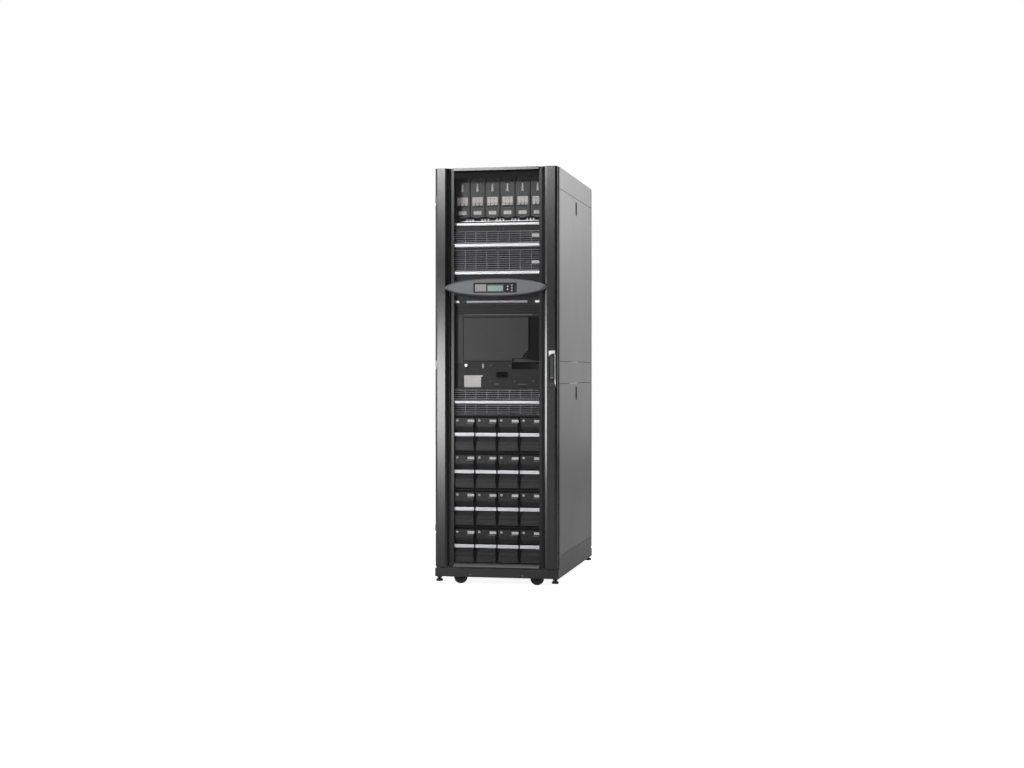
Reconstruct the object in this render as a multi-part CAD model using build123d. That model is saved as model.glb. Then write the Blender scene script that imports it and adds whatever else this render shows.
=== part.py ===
from build123d import *

import os

os.makedirs("parts", exist_ok=True)

# Overall cabinet, in millimetres: front is -Y, floor is Z = 0
width = 600.0
depth = 1070.0
height = 1991.0

# Sheet metal and clearances
frame_wall = 2.0
panel_wall = 1.5
shelf_wall = 3.0
roof_wall = 2.0
seat_gap = 0.3
panel_gap = 2.0
door_gap = 6.0
pin_clearance = 0.05
overshoot = 1.0

# Base frame
plinth_bottom = 38.0
plinth_top = 78.0
side_skirt_top = 140.0
plinth_setback = 15.0
plinth_wall = 3.0
ledge_width = 24.0
gusset_size = 44.0
gusset_wall = 5.0
caster_beam_bottom = 90.0
caster_beam_wall = 4.0
caster_beam_depth = 95.0

# Levelling feet
foot_inset = 18.0
foot_setback = 17.0
foot_bottom = 15.0
foot_radius = 16.5
foot_disc = 11.0
stud_radius = 6.0
nut_radius = 12.0
nut_height = 8.0

# Casters
caster_inset = 98.0
caster_setback = 58.0
caster_trail = 15.0
wheel_radius = 33.0
wheel_width = 22.0
wheel_recess = 2.5
wheel_crown = 1.0
tread_corner = 4.0
hub_radius = 21.0
hub_step = 2.0
axle_radius = 5.0
axle_end = 2.0
fork_wall = 3.0
fork_gap = 4.0
fork_head = 5.0
fork_eye = 12.0
fork_reach = 14.0
fork_corner = 10.0
raceway_radius = 21.0
kingpin_radius = 6.0

# Front and rear frames
frame_setback = 38.0
post_width = 68.0
post_depth = 42.0
post_lip = 20.0
panel_rebate = 14.0
upper_rail_height = 14.0

# Roof
roof_skirt = 102.0
brush_end_margin = 120.0
brush_width = 70.0
brush_setback = 205.0
brush_rim = 10.0
brush_rim_wall = 8.0
roof_hole_inset = 60.0
roof_hole_setback = 185.0
roof_hole_radius = 3.3

# Side panels and their slide latches
middle_rail_drop = 924.0
middle_rail_height = 104.0
panel_corner = 3.0
latch_width = 40.0
latch_height = 68.0
latch_drop = 16.0
latch_depth = 10.0
latch_flange = 2.0
latch_rim = 5.0
latch_border = 6.0
latch_floor = 1.5
latch_inset = 0.5

# Front door: two pillars of formed sheet, two rails and the perforated sheet
door_bottom = 88.0
door_edge_gap = 3.0
pillar_wall = 2.0
pillar_width = 77.0
pillar_face_width = 50.0
pillar_bevel_width = 9.0
pillar_bevel_depth = 5.0
pillar_chamfer = 11.0
pillar_cove = 2.0
pillar_back_radius = 6.0
sheet_depth = 17.5
landing_width = 12.0
landing_wall = 1.5
return_lip = 6.0
cap_lip = 12.0
top_rail_face = 13.0
top_rail_slope = 7.0
top_rail_height = 46.0
top_rail_recess = 5.0
bottom_rail_face = 5.0
bottom_rail_slope = 6.0
bottom_rail_height = 17.0
bottom_rail_recess = 7.0
mesh_wall = 1.5
mesh_columns = 8
mesh_row_height = 50.0
mesh_bar = 7.0
mesh_margin = 4.0

# Door hinges: fixed pins on lugs of the front frame, bored knuckles in the left pillar
hinge_inset = 8.0
hinge_depth = 11.0
hinge_pin_radius = 4.0
hinge_pin_length = 30.0
hinge_lug_height = 5.0
hinge_lug_half = 4.5
hinge_lug_radius = 5.5
hinge_low_gap = 162.0
hinge_high_gap = 171.0
hinge_notch = 14.0
hinge_notch_drop = 3.0
knuckle_half = 9.0
knuckle_cap = 4.0

# Display on the door
display_drop = 571.5
display_half_height = 43.5
display_relief = 10.0
display_shoulder = 5.0
shoulder_inset_x = 5.0
shoulder_inset_z = 3.0
crown_inset_x = 30.0
crown_inset_z = 9.0
display_hub_inset_x = 40.0
display_hub_inset_z = 6.0
display_window_left = -106.0
display_window_right = 104.0
display_window_below = 26.0
display_window_above = 22.0
display_pocket = 7.0
display_panel_wall = 4.0
screen_left = -38.0
screen_right = 37.0
screen_below = 19.0
screen_above = 9.5
screen_wall = 0.8
key_radius = 4.5
key_relief = 1.5
key_edge = 0.6
enter_key_x = 60.0
enter_key_spacing = 14.5
arrow_key_x = 80.0
arrow_key_spacing = 13.0
key_lift = -3.0

# Door handle
handle_edge_gap = 7.0
handle_width = 36.0
handle_top = 1120.0
handle_length = 177.0
handle_relief = 4.0
handle_depth = 12.0
handle_corner = 3.0
cheek_wall = 5.0
boss_wall = 3.5
boss_root = 0.5
boss_half_height = 4.0
boss_relief = 1.5
handle_cap_height = 30.0
lever_width = 16.0
lever_thickness = 6.5
lever_length = 110.0
lever_relief = 8.0
lever_gap = 5.0
lever_toe = 6.0
lever_pin_radius = 2.0
lever_pin_end = 2.0
lock_lift = 14.0
lock_radius = 8.0
lock_relief = 2.0

# Equipment inside: how far behind the door's face each front lies
bar_setback = 27.0
bezel_setback = 32.0
module_setback = 45.0
drawer_setback = 55.0
breaker_setback = 101.0
equipment_tail = 275.0
bar_thickness = 5.0
chassis_post_gap = 7.0
module_side_gap = 4.0

# Heights inside, counted in rack units from the lowest shelf
rack_units = 42
first_unit_z = 98.5
head_space = 23.6
battery_units = 4
battery_rows = 4
battery_columns = 4
fan_unit = 16
control_unit = 19
lower_power_unit = 31
upper_power_unit = 34
tray_unit = 36.4

# Battery drawers
drawer_margin = 3.0
drawer_gap = 2.0
drawer_head_gap = 1.5
grip_low = 78.0
grip_height = 17.5
grip_gap = 3.0
grip_lip = 4.0
bezel_slope = 27.0
bezel_top_margin = 8.0
bezel_bottom_margin = 10.0
bezel_wide_inset = 3.0
bezel_waist_inset = 12.0
handle_inset = 3.0
handle_post_width = 4.0
handle_post_inset = 5.0
handle_round = 1.5

# Power modules: lifts are over the module's own shelf
power_head_gap = 1.0
power_bar_height = 20.0
lower_bar_lift = 4.5
lower_louvres_low = 28.0
lower_louvres_high = 124.0
upper_bar_lift = 3.2
upper_louvres_low = 26.0
upper_louvres_high = 80.0
fan_bar_lift = 54.3
fan_bar_height = 18.0
fan_louvres_low = 6.0
fan_louvres_high = 50.0
fan_grille_low = 76.0
fan_grille_high = 125.0
power_bar_inset = 4.0
power_bar_round = 5.0
louvre_columns = 8
louvre_pitch = 10.5
louvre_height = 4.0
louvre_depth = 12.0
louvre_rib = 3.0
louvre_margin = 4.0

# Switch section between the bottom power module and the display; shares are of the module's half width
control_height = 121.0
control_step_share = 0.31
switch_share = 0.09
latch_knob_share = -0.33
catch_share = -0.71
control_recess = 10.0
control_step_drop = 34.0
cover_height = 226.0
cover_recess = 12.0
cover_left_margin = 49.0
cover_right_margin = 66.0
cover_low_margin = 3.0
cover_high_margin = 8.0
cover_edge = 4.0
cover_corner = 26.0
cover_toe_width = 78.0
vent_recess = 8.0
vent_side_margin = 12.0
vent_slots = 4
vent_first_slot = 10.0
vent_slot_depth = 12.0
latch_bar_lift = 55.0
latch_bar_height = 17.0
latch_bar_left = 62.0
latch_bar_right = 145.0
latch_end_left = 28.0
latch_end_right = 33.0
switch_plate_half = 14.0
switch_plate_wall = 3.0
switch_knob_radius = 9.0
switch_knob_reach = 6.0
switch_grip_half = 3.0
switch_grip_length = 15.0
catch_radius = 7.0
catch_reach = 4.0

# Distribution section at the top; shares are of a breaker module's height
breaker_window_share = (0.28, 0.57)
breaker_latch_share = (0.72, 0.94)
tray_bar_height = 19.0
tray_bar_depth = 12.0
breaker_columns = 6
breaker_gap = 5.0
breaker_foot_gap = 23.0
breaker_step = 28.0
breaker_step_depth = 25.0
breaker_margin = 8.0
breaker_pocket = 14.0
breaker_body_inset = 2.0
toggle_reach = 8.0
toggle_half = 6.0
toggle_rise = 20.0
toggle_drop = 8.0
toggle_tip = 6.0
latch_tip_half = 2.5
latch_base_half = 5.0
latch_relief = 4.0
terminal_height = 25.5
clip_pitch = 15.6
clip_half = 3.5
clip_height = 14.0
clip_depth = 16.0
clip_tip = 5.0

# Rear doors and handle
rear_door_gap = 4.0
rear_columns = 4
rear_row_height = 94.0
rear_margin = 34.0
rear_stay_left = 30.0
rear_stay_right = 16.0
rear_stay_height = 40.0
rear_plate_left = 8.0
rear_plate_width = 26.0
rear_plate_height = 140.0
rear_plate_wall = 3.0
rear_plate_drop = 20.0
rear_grip_inset = 6.0
rear_grip_relief = 10.0
rear_grip_low = 25.0
rear_grip_high = 12.0
rear_grip_edge = 2.0

# Places worked out from the driving sizes
half_width = width / 2
half_depth = depth / 2
plinth_y = half_depth - plinth_setback
frame_y = half_depth - frame_setback
frame_back_y = frame_y - post_depth
panel_y = frame_y - post_lip - panel_gap
post_inner_x = half_width - post_width
rebate_x = half_width - panel_rebate
foot_x = half_width - foot_inset
foot_y = plinth_y - foot_setback
frame_foot_z = caster_beam_bottom + caster_beam_wall
roof_underside = height - roof_wall
middle_rail_top = height - middle_rail_drop
middle_rail_bottom = middle_rail_top - middle_rail_height
caster_x = half_width - caster_inset
caster_y = plinth_y - caster_setback
axle_x = caster_x - caster_trail
brush_half_length = half_width - brush_end_margin
brush_y = half_depth - brush_setback

door_edge = half_width - door_edge_gap
door_back_y = -frame_y - door_gap
pillar_face_y = -half_depth
landing_y = pillar_face_y + sheet_depth
mesh_front_y = landing_y + landing_wall
mesh_back_y = mesh_front_y + mesh_wall
cove_inner = door_edge - pillar_width
pillar_face_inner = door_edge - pillar_face_width
pillar_bevel_inner = pillar_face_inner - pillar_bevel_width
hinge_x = hinge_inset - door_edge
hinge_y = pillar_face_y + hinge_depth
hinge_low = door_bottom + hinge_low_gap
hinge_high = height - hinge_high_gap
hinge_heights = (hinge_low, (hinge_low + hinge_high) / 2, hinge_high)

display_z = height - display_drop
display_half_width = pillar_face_inner
display_front_y = pillar_face_y - display_relief
display_floor_y = display_front_y + display_pocket
display_panel_y = display_floor_y - display_panel_wall
display_window_low = display_z - display_window_below
display_window_high = display_z + display_window_above

handle_right = door_edge - handle_edge_gap
handle_left = handle_right - handle_width
handle_bottom = handle_top - handle_length
handle_face_y = pillar_face_y - handle_relief
lever_x = (handle_left + handle_right) / 2
lever_front_y = pillar_face_y - lever_relief
lever_back_y = lever_front_y + lever_thickness
lever_pin_y = (lever_front_y + lever_back_y) / 2
lever_top = handle_top - handle_cap_height
lever_pin_z = lever_top - lever_thickness / 2
recess_floor_y = lever_back_y + lever_gap

bar_front_y = pillar_face_y + bar_setback
bezel_front_y = pillar_face_y + bezel_setback
module_face_y = pillar_face_y + module_setback
drawer_face_y = pillar_face_y + drawer_setback
breaker_face_y = pillar_face_y + breaker_setback
equipment_back_y = half_depth - equipment_tail
chassis_half = post_inner_x - chassis_post_gap
flange_half = post_inner_x - seat_gap
module_half = chassis_half - frame_wall - module_side_gap
rack_unit = (roof_underside - head_space - first_unit_z) / rack_units


def block(x_low, x_high, y_low, y_high, z_low, z_high):
    """A rectangular solid given by its low and high corners."""
    centre = Pos((x_low + x_high) / 2, (y_low + y_high) / 2, (z_low + z_high) / 2)
    return centre * Box(x_high - x_low, y_high - y_low, z_high - z_low)


def upright_cylinder(x, y, z_low, z_high, radius):
    """A cylinder that stands on Z."""
    return Pos(x, y, (z_low + z_high) / 2) * Cylinder(radius, z_high - z_low)


def cross_cylinder(x_low, x_high, y, z, radius):
    """A cylinder that lies along X."""
    return Pos((x_low + x_high) / 2, y, z) * Rot(0, 90, 0) * Cylinder(radius, x_high - x_low)


def fore_cylinder(x, y_low, y_high, z, radius):
    """A cylinder that lies along Y."""
    return Pos(x, (y_low + y_high) / 2, z) * Rot(90, 0, 0) * Cylinder(radius, y_high - y_low)


def prism_along_z(points, z_low, z_high):
    """A solid with the given plan outline, in X and Y."""
    face = make_face(Polyline(*points, close=True))
    return Pos(0, 0, z_low) * extrude(face, amount=z_high - z_low)


def prism_along_x(points, x_low, x_high):
    """A solid with the given side outline, in Y and Z."""
    outline = Polyline(*[(x_low, y, z) for y, z in points], close=True)
    return extrude(make_face(outline), amount=x_high - x_low, dir=(1, 0, 0))


def prism_along_y(points, y_low, y_high):
    """A solid with the given front outline, in X and Z."""
    outline = Polyline(*[(x, y_low, z) for x, z in points], close=True)
    return extrude(make_face(outline), amount=y_high - y_low, dir=(0, 1, 0))


def unit_z(unit):
    """Height of the lower edge of a rack unit, counted from 0 at the bottom."""
    return first_unit_z + unit * rack_unit


def spread(count, pitch):
    """Middles of a row of the given count, spaced evenly about zero."""
    return [(index - (count - 1) / 2) * pitch for index in range(count)]


def both_sides(solid):
    """The solid and its mirror image across the middle plane."""
    return [solid, mirror(solid, Plane.YZ)]


def four_corners(solid):
    """The solid with its mirror images at the other three corners."""
    return both_sides(solid) + both_sides(mirror(solid, Plane.XZ))


def front_rounded(bar, radius):
    """A bar along X with the two long edges of its front rounded."""
    return fillet(bar.edges().filter_by(Axis.X).group_by(Axis.Y)[0], radius)


def save(name, *solids):
    """Write one node; its solids don't touch each other."""
    flat = []
    for solid in solids:
        flat.extend(solid if isinstance(solid, (list, tuple)) else [solid])
    bodies = [body for item in flat for body in item.solids()]
    export_step(bodies[0] if len(bodies) == 1 else Compound(bodies), f"parts/{name}.step")


# Base frame, levelling feet and casters

def caster_beam():
    """Inverted tray across the cabinet that the two rear or front casters are bolted under."""
    y_low = frame_y - caster_beam_depth
    x_high = half_width - plinth_wall / 2
    fold_bottom = plinth_top - plinth_wall
    plate = block(0, x_high, y_low, frame_y, caster_beam_bottom, frame_foot_z)
    inner_fold = block(0, x_high, y_low, y_low + caster_beam_wall, fold_bottom, frame_foot_z)
    outer_fold = block(0, x_high, frame_y - caster_beam_wall, frame_y, fold_bottom, frame_foot_z)
    bore = upright_cylinder(caster_x, caster_y, caster_beam_bottom - overshoot, frame_foot_z + overshoot,
                            kingpin_radius + pin_clearance)
    return plate + inner_fold + outer_fold - bore


def corner_gusset():
    """Plate in a corner of the base, bored for the levelling foot's stud."""
    plate = block(half_width - gusset_size, half_width - plinth_wall / 2, plinth_y - gusset_size,
                  plinth_y - plinth_wall / 2, plinth_bottom, plinth_bottom + gusset_wall)
    return plate - upright_cylinder(foot_x, foot_y, 0, plinth_top, stud_radius + seat_gap)


def base_frame():
    """Welded base: front and rear channels, deep side skirts, caster beams and corner gussets."""
    inner_x = half_width - plinth_wall
    inner_y = plinth_y - plinth_wall
    window_y = plinth_y - ledge_width
    frame = block(-half_width, half_width, -plinth_y, plinth_y, plinth_bottom, plinth_top)
    frame = frame - block(-inner_x, inner_x, -inner_y, inner_y, plinth_bottom - plinth_wall,
                          plinth_top - plinth_wall)
    frame = frame - block(-inner_x, inner_x, -window_y, window_y, plinth_bottom, plinth_top + plinth_wall)
    skirt = block(inner_x, half_width, -panel_y, panel_y, plinth_top - plinth_wall, side_skirt_top)
    skirt = skirt + block(inner_x, half_width, -frame_y, frame_y, plinth_top - plinth_wall, frame_foot_z)
    for part in both_sides(skirt) + four_corners(corner_gusset()) + four_corners(caster_beam()):
        frame = frame + part
    return frame


def levelling_foot():
    """Disc foot on a threaded stud with a lock nut under the base gusset."""
    disc = upright_cylinder(foot_x, foot_y, foot_bottom, foot_bottom + foot_disc, foot_radius)
    disc = chamfer(disc.edges().group_by(Axis.Z)[-1], foot_disc / 2)
    stud = upright_cylinder(foot_x, foot_y, foot_bottom, plinth_top - plinth_wall - seat_gap, stud_radius)
    nut = Pos(foot_x, foot_y, plinth_bottom - nut_height) * extrude(
        RegularPolygon(nut_radius, 6), amount=nut_height)
    return disc + stud + nut


def caster_fork():
    """Pressed fork with two cheeks, raceway and kingpin; its axle trails towards the middle."""
    cheek = wheel_width / 2 + fork_gap
    outer = cheek + fork_wall
    head_z = 2 * wheel_radius + fork_head
    hood = block(axle_x - fork_reach, caster_x + fork_reach, -outer, outer, head_z, head_z + fork_wall)
    hood = fillet(hood.edges().filter_by(Axis.Z), fork_corner)
    outline = ((axle_x - fork_eye, wheel_radius), (axle_x + fork_eye, wheel_radius),
               (caster_x + fork_reach, head_z + fork_wall / 2),
               (axle_x - fork_reach, head_z + fork_wall / 2))
    side = prism_along_y(outline, cheek, outer) + fore_cylinder(axle_x, cheek, outer, wheel_radius, fork_eye)
    axle = fore_cylinder(axle_x, -outer - axle_end, outer + axle_end, wheel_radius, axle_radius)
    raceway = upright_cylinder(caster_x, 0, head_z, caster_beam_bottom - seat_gap, raceway_radius)
    kingpin = upright_cylinder(caster_x, 0, head_z, frame_foot_z, kingpin_radius)
    fork = hood + side + mirror(side, Plane.XZ) + axle + raceway + kingpin
    return Pos(0, -caster_y, 0) * fork


def caster_wheel():
    """Turned wheel with a crowned tread and dished sides, with a bore for the axle."""
    rim = wheel_width / 2
    dish = rim - wheel_recess
    bore = axle_radius + pin_clearance
    boss = hub_radius / 2
    edge = wheel_radius - wheel_crown
    shoulder = rim - tread_corner
    side = ((bore, rim), (boss, rim), (boss + hub_step, dish), (hub_radius, dish),
            (hub_radius + hub_step, rim), (edge - tread_corner / 2, rim), (edge, shoulder))
    with BuildPart() as wheel:
        with BuildSketch(Plane.XY):
            with BuildLine():
                Polyline(*[(x, -y) for x, y in side])
                ThreePointArc((edge, -shoulder), (wheel_radius, 0), (edge, shoulder))
                Polyline(*reversed(side))
                Line((bore, rim), (bore, -rim))
            make_face()
        revolve(axis=Axis.Y)
    return Pos(axle_x, -caster_y, wheel_radius) * wheel.part


# Frames, roof and side panels

def post():
    """Formed corner post, right-hand side, with a rebate that the side panels sit in."""
    w = frame_wall
    outline = ((post_inner_x, -frame_y), (half_width, -frame_y), (half_width, -frame_y + post_lip),
               (rebate_x, -frame_y + post_lip), (rebate_x, -frame_back_y), (post_inner_x, -frame_back_y))
    inside = ((post_inner_x + w, -frame_y + w), (half_width - w, -frame_y + w),
              (half_width - w, -frame_y + post_lip - w), (rebate_x - w, -frame_y + post_lip - w),
              (rebate_x - w, -frame_back_y - w), (post_inner_x + w, -frame_back_y - w))
    solid = prism_along_z(outline, frame_foot_z, roof_underside)
    return solid - prism_along_z(inside, frame_foot_z - overshoot, roof_underside + overshoot)


def end_frame():
    """Two posts that stand on the base, joined by an upper cross rail, as one welded frame."""
    rail_bottom = roof_underside - upper_rail_height
    rail = block(-post_inner_x, post_inner_x, -frame_y, -frame_back_y, rail_bottom, roof_underside)
    rail = rail - block(-post_inner_x, post_inner_x, -frame_y + frame_wall, -frame_back_y, rail_bottom,
                        roof_underside - frame_wall)
    right = post()
    return right + mirror(right, Plane.YZ) + rail


def front_frame():
    """Front welded frame with three hinge lugs and pins for the door."""
    frame = end_frame()
    for z in hinge_heights:
        top = z + hinge_lug_height
        lug = block(hinge_x - hinge_lug_half, hinge_x + hinge_lug_half, hinge_y, -frame_y + frame_wall / 2,
                    z, top)
        boss = upright_cylinder(hinge_x, hinge_y, z, top, hinge_lug_radius)
        pin = upright_cylinder(hinge_x, hinge_y, z, top + hinge_pin_length, hinge_pin_radius)
        frame = frame + lug + boss + pin
    return frame


def roof_panel():
    """Folded roof with deep side skirts, two cable slots and four holes for overhead troughs."""
    under = roof_underside - overshoot
    over = height + overshoot
    top = block(-half_width, half_width, -frame_y, frame_y, roof_underside, height)
    slot = block(-brush_half_length, brush_half_length, brush_y - brush_width / 2, brush_y + brush_width / 2,
                 under, over)
    hole = upright_cylinder(half_width - roof_hole_inset, half_depth - roof_hole_setback, under, over,
                            roof_hole_radius)
    top = top - slot - mirror(slot, Plane.XZ) - four_corners(hole)
    skirt = block(half_width - roof_wall, half_width, -panel_y, panel_y, height - roof_skirt, height)
    return top + skirt + mirror(skirt, Plane.YZ)


def roof_brush():
    """Brush strip that closes a cable slot in the roof."""
    half = brush_width / 2
    insert = block(-brush_half_length + seat_gap, brush_half_length - seat_gap, brush_y - half + seat_gap,
                   brush_y + half - seat_gap, roof_underside, height)
    rim = block(-brush_half_length - brush_rim, brush_half_length + brush_rim, brush_y - half - brush_rim,
                brush_y + half + brush_rim, roof_underside - brush_rim_wall, roof_underside)
    return insert + rim


def middle_rail():
    """Side rail between the upper and lower side panels, right-hand side."""
    w = frame_wall
    outer = block(rebate_x + seat_gap, half_width, -panel_y, panel_y, middle_rail_bottom, middle_rail_top)
    return outer - block(rebate_x, half_width - w, -panel_y + w, panel_y - w, middle_rail_bottom + w,
                         middle_rail_top - w)


def side_panel(z_low, z_high):
    """Folded side panel, right-hand side, with a cut-out for its slide latch."""
    w = panel_wall
    fold_x = rebate_x + seat_gap
    tray = block(fold_x, half_width, -panel_y, panel_y, z_low, z_high)
    tray = fillet(tray.edges().filter_by(Axis.X), panel_corner)
    hollow = block(fold_x - overshoot, half_width - w, -panel_y + w, panel_y - w, z_low + w, z_high - w)
    window_top = z_high - latch_drop
    window = block(fold_x, half_width + overshoot, -latch_width / 2, latch_width / 2,
                   window_top - latch_height, window_top)
    return tray - hollow - window


def panel_latch(z_high):
    """Slide latch cup set in a side panel, right-hand side."""
    top = z_high - latch_drop
    bottom = top - latch_height
    half = latch_width / 2
    floor_x = half_width - latch_depth
    flange = block(half_width - panel_wall - latch_flange, half_width - panel_wall, -half - latch_rim,
                   half + latch_rim, bottom - latch_rim, top + latch_rim)
    cup = block(floor_x, half_width - latch_inset, -half + seat_gap, half - seat_gap, bottom + seat_gap,
                top - seat_gap)
    scoop = ((floor_x + latch_floor, top - latch_border), (half_width + overshoot, top - latch_border),
             (half_width + overshoot, bottom + latch_border),
             (half_width - latch_flange, bottom + latch_border))
    return flange + cup - prism_along_y(scoop, -half + latch_border, half - latch_border)


# Front door

def pillar():
    """Formed door pillar, right-hand side: faceted front, coved inner side, square back."""
    bevel_y = pillar_face_y + pillar_bevel_depth
    cove_middle = ((pillar_bevel_inner + cove_inner) / 2 + pillar_cove,
                   (bevel_y + landing_y) / 2 + pillar_cove)
    with BuildPart() as solid:
        with BuildSketch():
            with BuildLine():
                Polyline((cove_inner, landing_y), (cove_inner, door_back_y), (door_edge, door_back_y),
                         (door_edge, pillar_face_y + pillar_chamfer),
                         (door_edge - pillar_chamfer, pillar_face_y),
                         (pillar_face_inner, pillar_face_y), (pillar_bevel_inner, bevel_y))
                ThreePointArc((pillar_bevel_inner, bevel_y), cove_middle, (cove_inner, landing_y))
            make_face()
        extrude(amount=height - door_bottom)
    shape = Pos(0, 0, door_bottom) * solid.part
    back_corner = Vector(door_edge, door_back_y)
    by_distance = shape.edges().filter_by(Axis.Z).sort_by(lambda edge: (edge.center() - back_corner).length)
    return fillet(by_distance[0], pillar_back_radius)


def hollow_pillar():
    """The pillar as formed sheet with folded end caps, an open back and a landing for the mesh."""
    w = pillar_wall
    bevel_y = pillar_face_y + pillar_bevel_depth
    fold = w / 2
    inside = ((cove_inner + w, landing_y + w), (cove_inner + w, door_back_y - w),
              (door_edge - w, door_back_y - w), (door_edge - w, pillar_face_y + pillar_chamfer + fold),
              (door_edge - pillar_chamfer - fold, pillar_face_y + w),
              (pillar_face_inner + fold, pillar_face_y + w), (pillar_bevel_inner + w, bevel_y + w))
    hollow = prism_along_z(inside, door_bottom + w, height - w)
    open_back = block(cove_inner + return_lip, door_edge - 2 * return_lip, door_back_y - w - overshoot,
                      door_back_y + overshoot, door_bottom + cap_lip, height - cap_lip)
    landing = block(cove_inner - landing_width, cove_inner + w / 2, landing_y, landing_y + landing_wall,
                    door_bottom, height)
    return pillar() - hollow - open_back + landing


def left_pillar():
    """Hinge-side pillar with three knuckles bored for the hinge pins, each over a notch for its lug."""
    door_side = mirror(hollow_pillar(), Plane.YZ)
    notch_front = pillar_face_y + pillar_wall
    for z in hinge_heights:
        seat = z + hinge_lug_height
        knuckle_foot = seat + overshoot
        pin_top = seat + hinge_pin_length
        notch = block(-door_edge - overshoot, hinge_x + hinge_notch, notch_front, door_back_y + overshoot,
                      z - hinge_notch_drop, knuckle_foot)
        knuckle = block(-door_edge + pillar_wall / 2, hinge_x + knuckle_half, notch_front - pillar_wall / 2,
                        hinge_y + knuckle_half, knuckle_foot, pin_top + knuckle_cap)
        bore = upright_cylinder(hinge_x, hinge_y, seat, pin_top + overshoot,
                                hinge_pin_radius + pin_clearance)
        door_side = door_side - notch + knuckle - bore
    return door_side


def right_pillar():
    """Lock-side pillar with the window that the handle base sits in."""
    window = block(handle_left - seat_gap, handle_right + seat_gap, pillar_face_y - overshoot,
                   pillar_face_y + handle_depth + overshoot, handle_bottom - seat_gap, handle_top + seat_gap)
    return hollow_pillar() - window


def door_rails():
    """Top and bottom rails between the pillars, each a formed section along X."""
    half = cove_inner - seat_gap
    lid_bottom = height - top_rail_height
    lid_back = lid_bottom + landing_width
    top_front = pillar_face_y + top_rail_recess
    top = ((door_back_y, height), (top_front, height), (top_front, height - top_rail_face),
           (landing_y, height - top_rail_face - top_rail_slope), (landing_y, lid_bottom),
           (mesh_front_y, lid_bottom), (mesh_front_y, lid_back), (door_back_y, lid_back))
    sill_front = pillar_face_y + bottom_rail_recess
    sill_top = door_bottom + bottom_rail_height
    sill_back = door_bottom + bottom_rail_slope
    bottom = ((door_back_y, door_bottom), (sill_front, door_bottom),
              (sill_front, door_bottom + bottom_rail_face),
              (landing_y, door_bottom + bottom_rail_face + bottom_rail_slope), (landing_y, sill_top),
              (mesh_front_y, sill_top), (mesh_front_y, sill_back), (door_back_y, sill_back))
    between_landings = half - landing_width
    room = block(-between_landings, between_landings, pillar_face_y, mesh_front_y, door_bottom, height)
    room = room + block(-half, half, mesh_front_y, door_back_y, door_bottom, height)
    return [prism_along_x(outline, -half, half) & room for outline in (top, bottom)]


def door_mesh():
    """Perforated sheet held behind the pillar landings, left whole behind the display."""
    half = cove_inner - seat_gap
    sheet_low = door_bottom + bottom_rail_slope
    sheet_high = height - top_rail_height + landing_width
    sheet = block(-half, half, mesh_front_y, mesh_back_y, sheet_low, sheet_high)
    column_pitch = 2 * (cove_inner - landing_width - mesh_margin) / mesh_columns
    spans = ((door_bottom + bottom_rail_height + mesh_margin, display_z - display_half_height - mesh_margin),
             (display_z + display_half_height + mesh_margin, height - top_rail_height - mesh_margin))
    windows = []
    for low, high in spans:
        rows = round((high - low) / mesh_row_height)
        row_pitch = (high - low) / rows
        window = Box(column_pitch - mesh_bar, 4 * mesh_wall, row_pitch - mesh_bar)
        for z in spread(rows, row_pitch):
            for x in spread(mesh_columns, column_pitch):
                windows.append(Pos(x, mesh_front_y, (low + high) / 2 + z) * window)
    return sheet - windows


def display_oval(y, inset_x, inset_z):
    """Ellipse of the display at one depth, in from its rim, facing the front."""
    plane = Plane(origin=(0, y, display_z), x_dir=(1, 0, 0), z_dir=(0, -1, 0))
    return plane * Ellipse(display_half_width - inset_x, display_half_height - inset_z)


def display_bezel():
    """Oval crowned bezel, lofted, with a hub that reaches back to the sheet and a pocket for the panel."""
    rim_y = pillar_face_y - seat_gap
    body = loft([display_oval(rim_y, 0, 0),
                 display_oval(rim_y - display_shoulder, shoulder_inset_x, shoulder_inset_z),
                 display_oval(display_front_y, crown_inset_x, crown_inset_z)])
    body = body & block(-display_half_width, display_half_width, display_front_y, rim_y,
                        display_z - display_half_height, display_z + display_half_height)
    hub = extrude(display_oval(mesh_front_y, display_hub_inset_x, display_hub_inset_z),
                  amount=mesh_front_y - rim_y + overshoot)
    pocket = block(display_window_left, display_window_right, display_front_y - overshoot, display_floor_y,
                   display_window_low, display_window_high)
    return body + hub - pocket


def display_panel():
    """Flat panel in the bezel's pocket that carries the screen and the keys."""
    return block(display_window_left + seat_gap, display_window_right - seat_gap, display_panel_y,
                 display_floor_y, display_window_low + seat_gap, display_window_high - seat_gap)


def screen():
    """Glass of the character screen, on the face of the panel."""
    return block(screen_left, screen_right, display_panel_y - screen_wall, display_panel_y,
                 display_z - screen_below, display_z + screen_above)


def keys():
    """Round keys to the right of the screen: two large ones, then a column of three."""
    middle = display_z + key_lift
    places = [(enter_key_x, middle + z) for z in spread(2, enter_key_spacing)]
    places += [(arrow_key_x, middle + z) for z in spread(3, arrow_key_spacing)]
    solids = []
    for x, z in places:
        key = fore_cylinder(x, display_panel_y - key_relief, display_panel_y, z, key_radius)
        solids.append(chamfer(key.edges().group_by(Axis.Y)[0], key_edge))
    return solids


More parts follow.
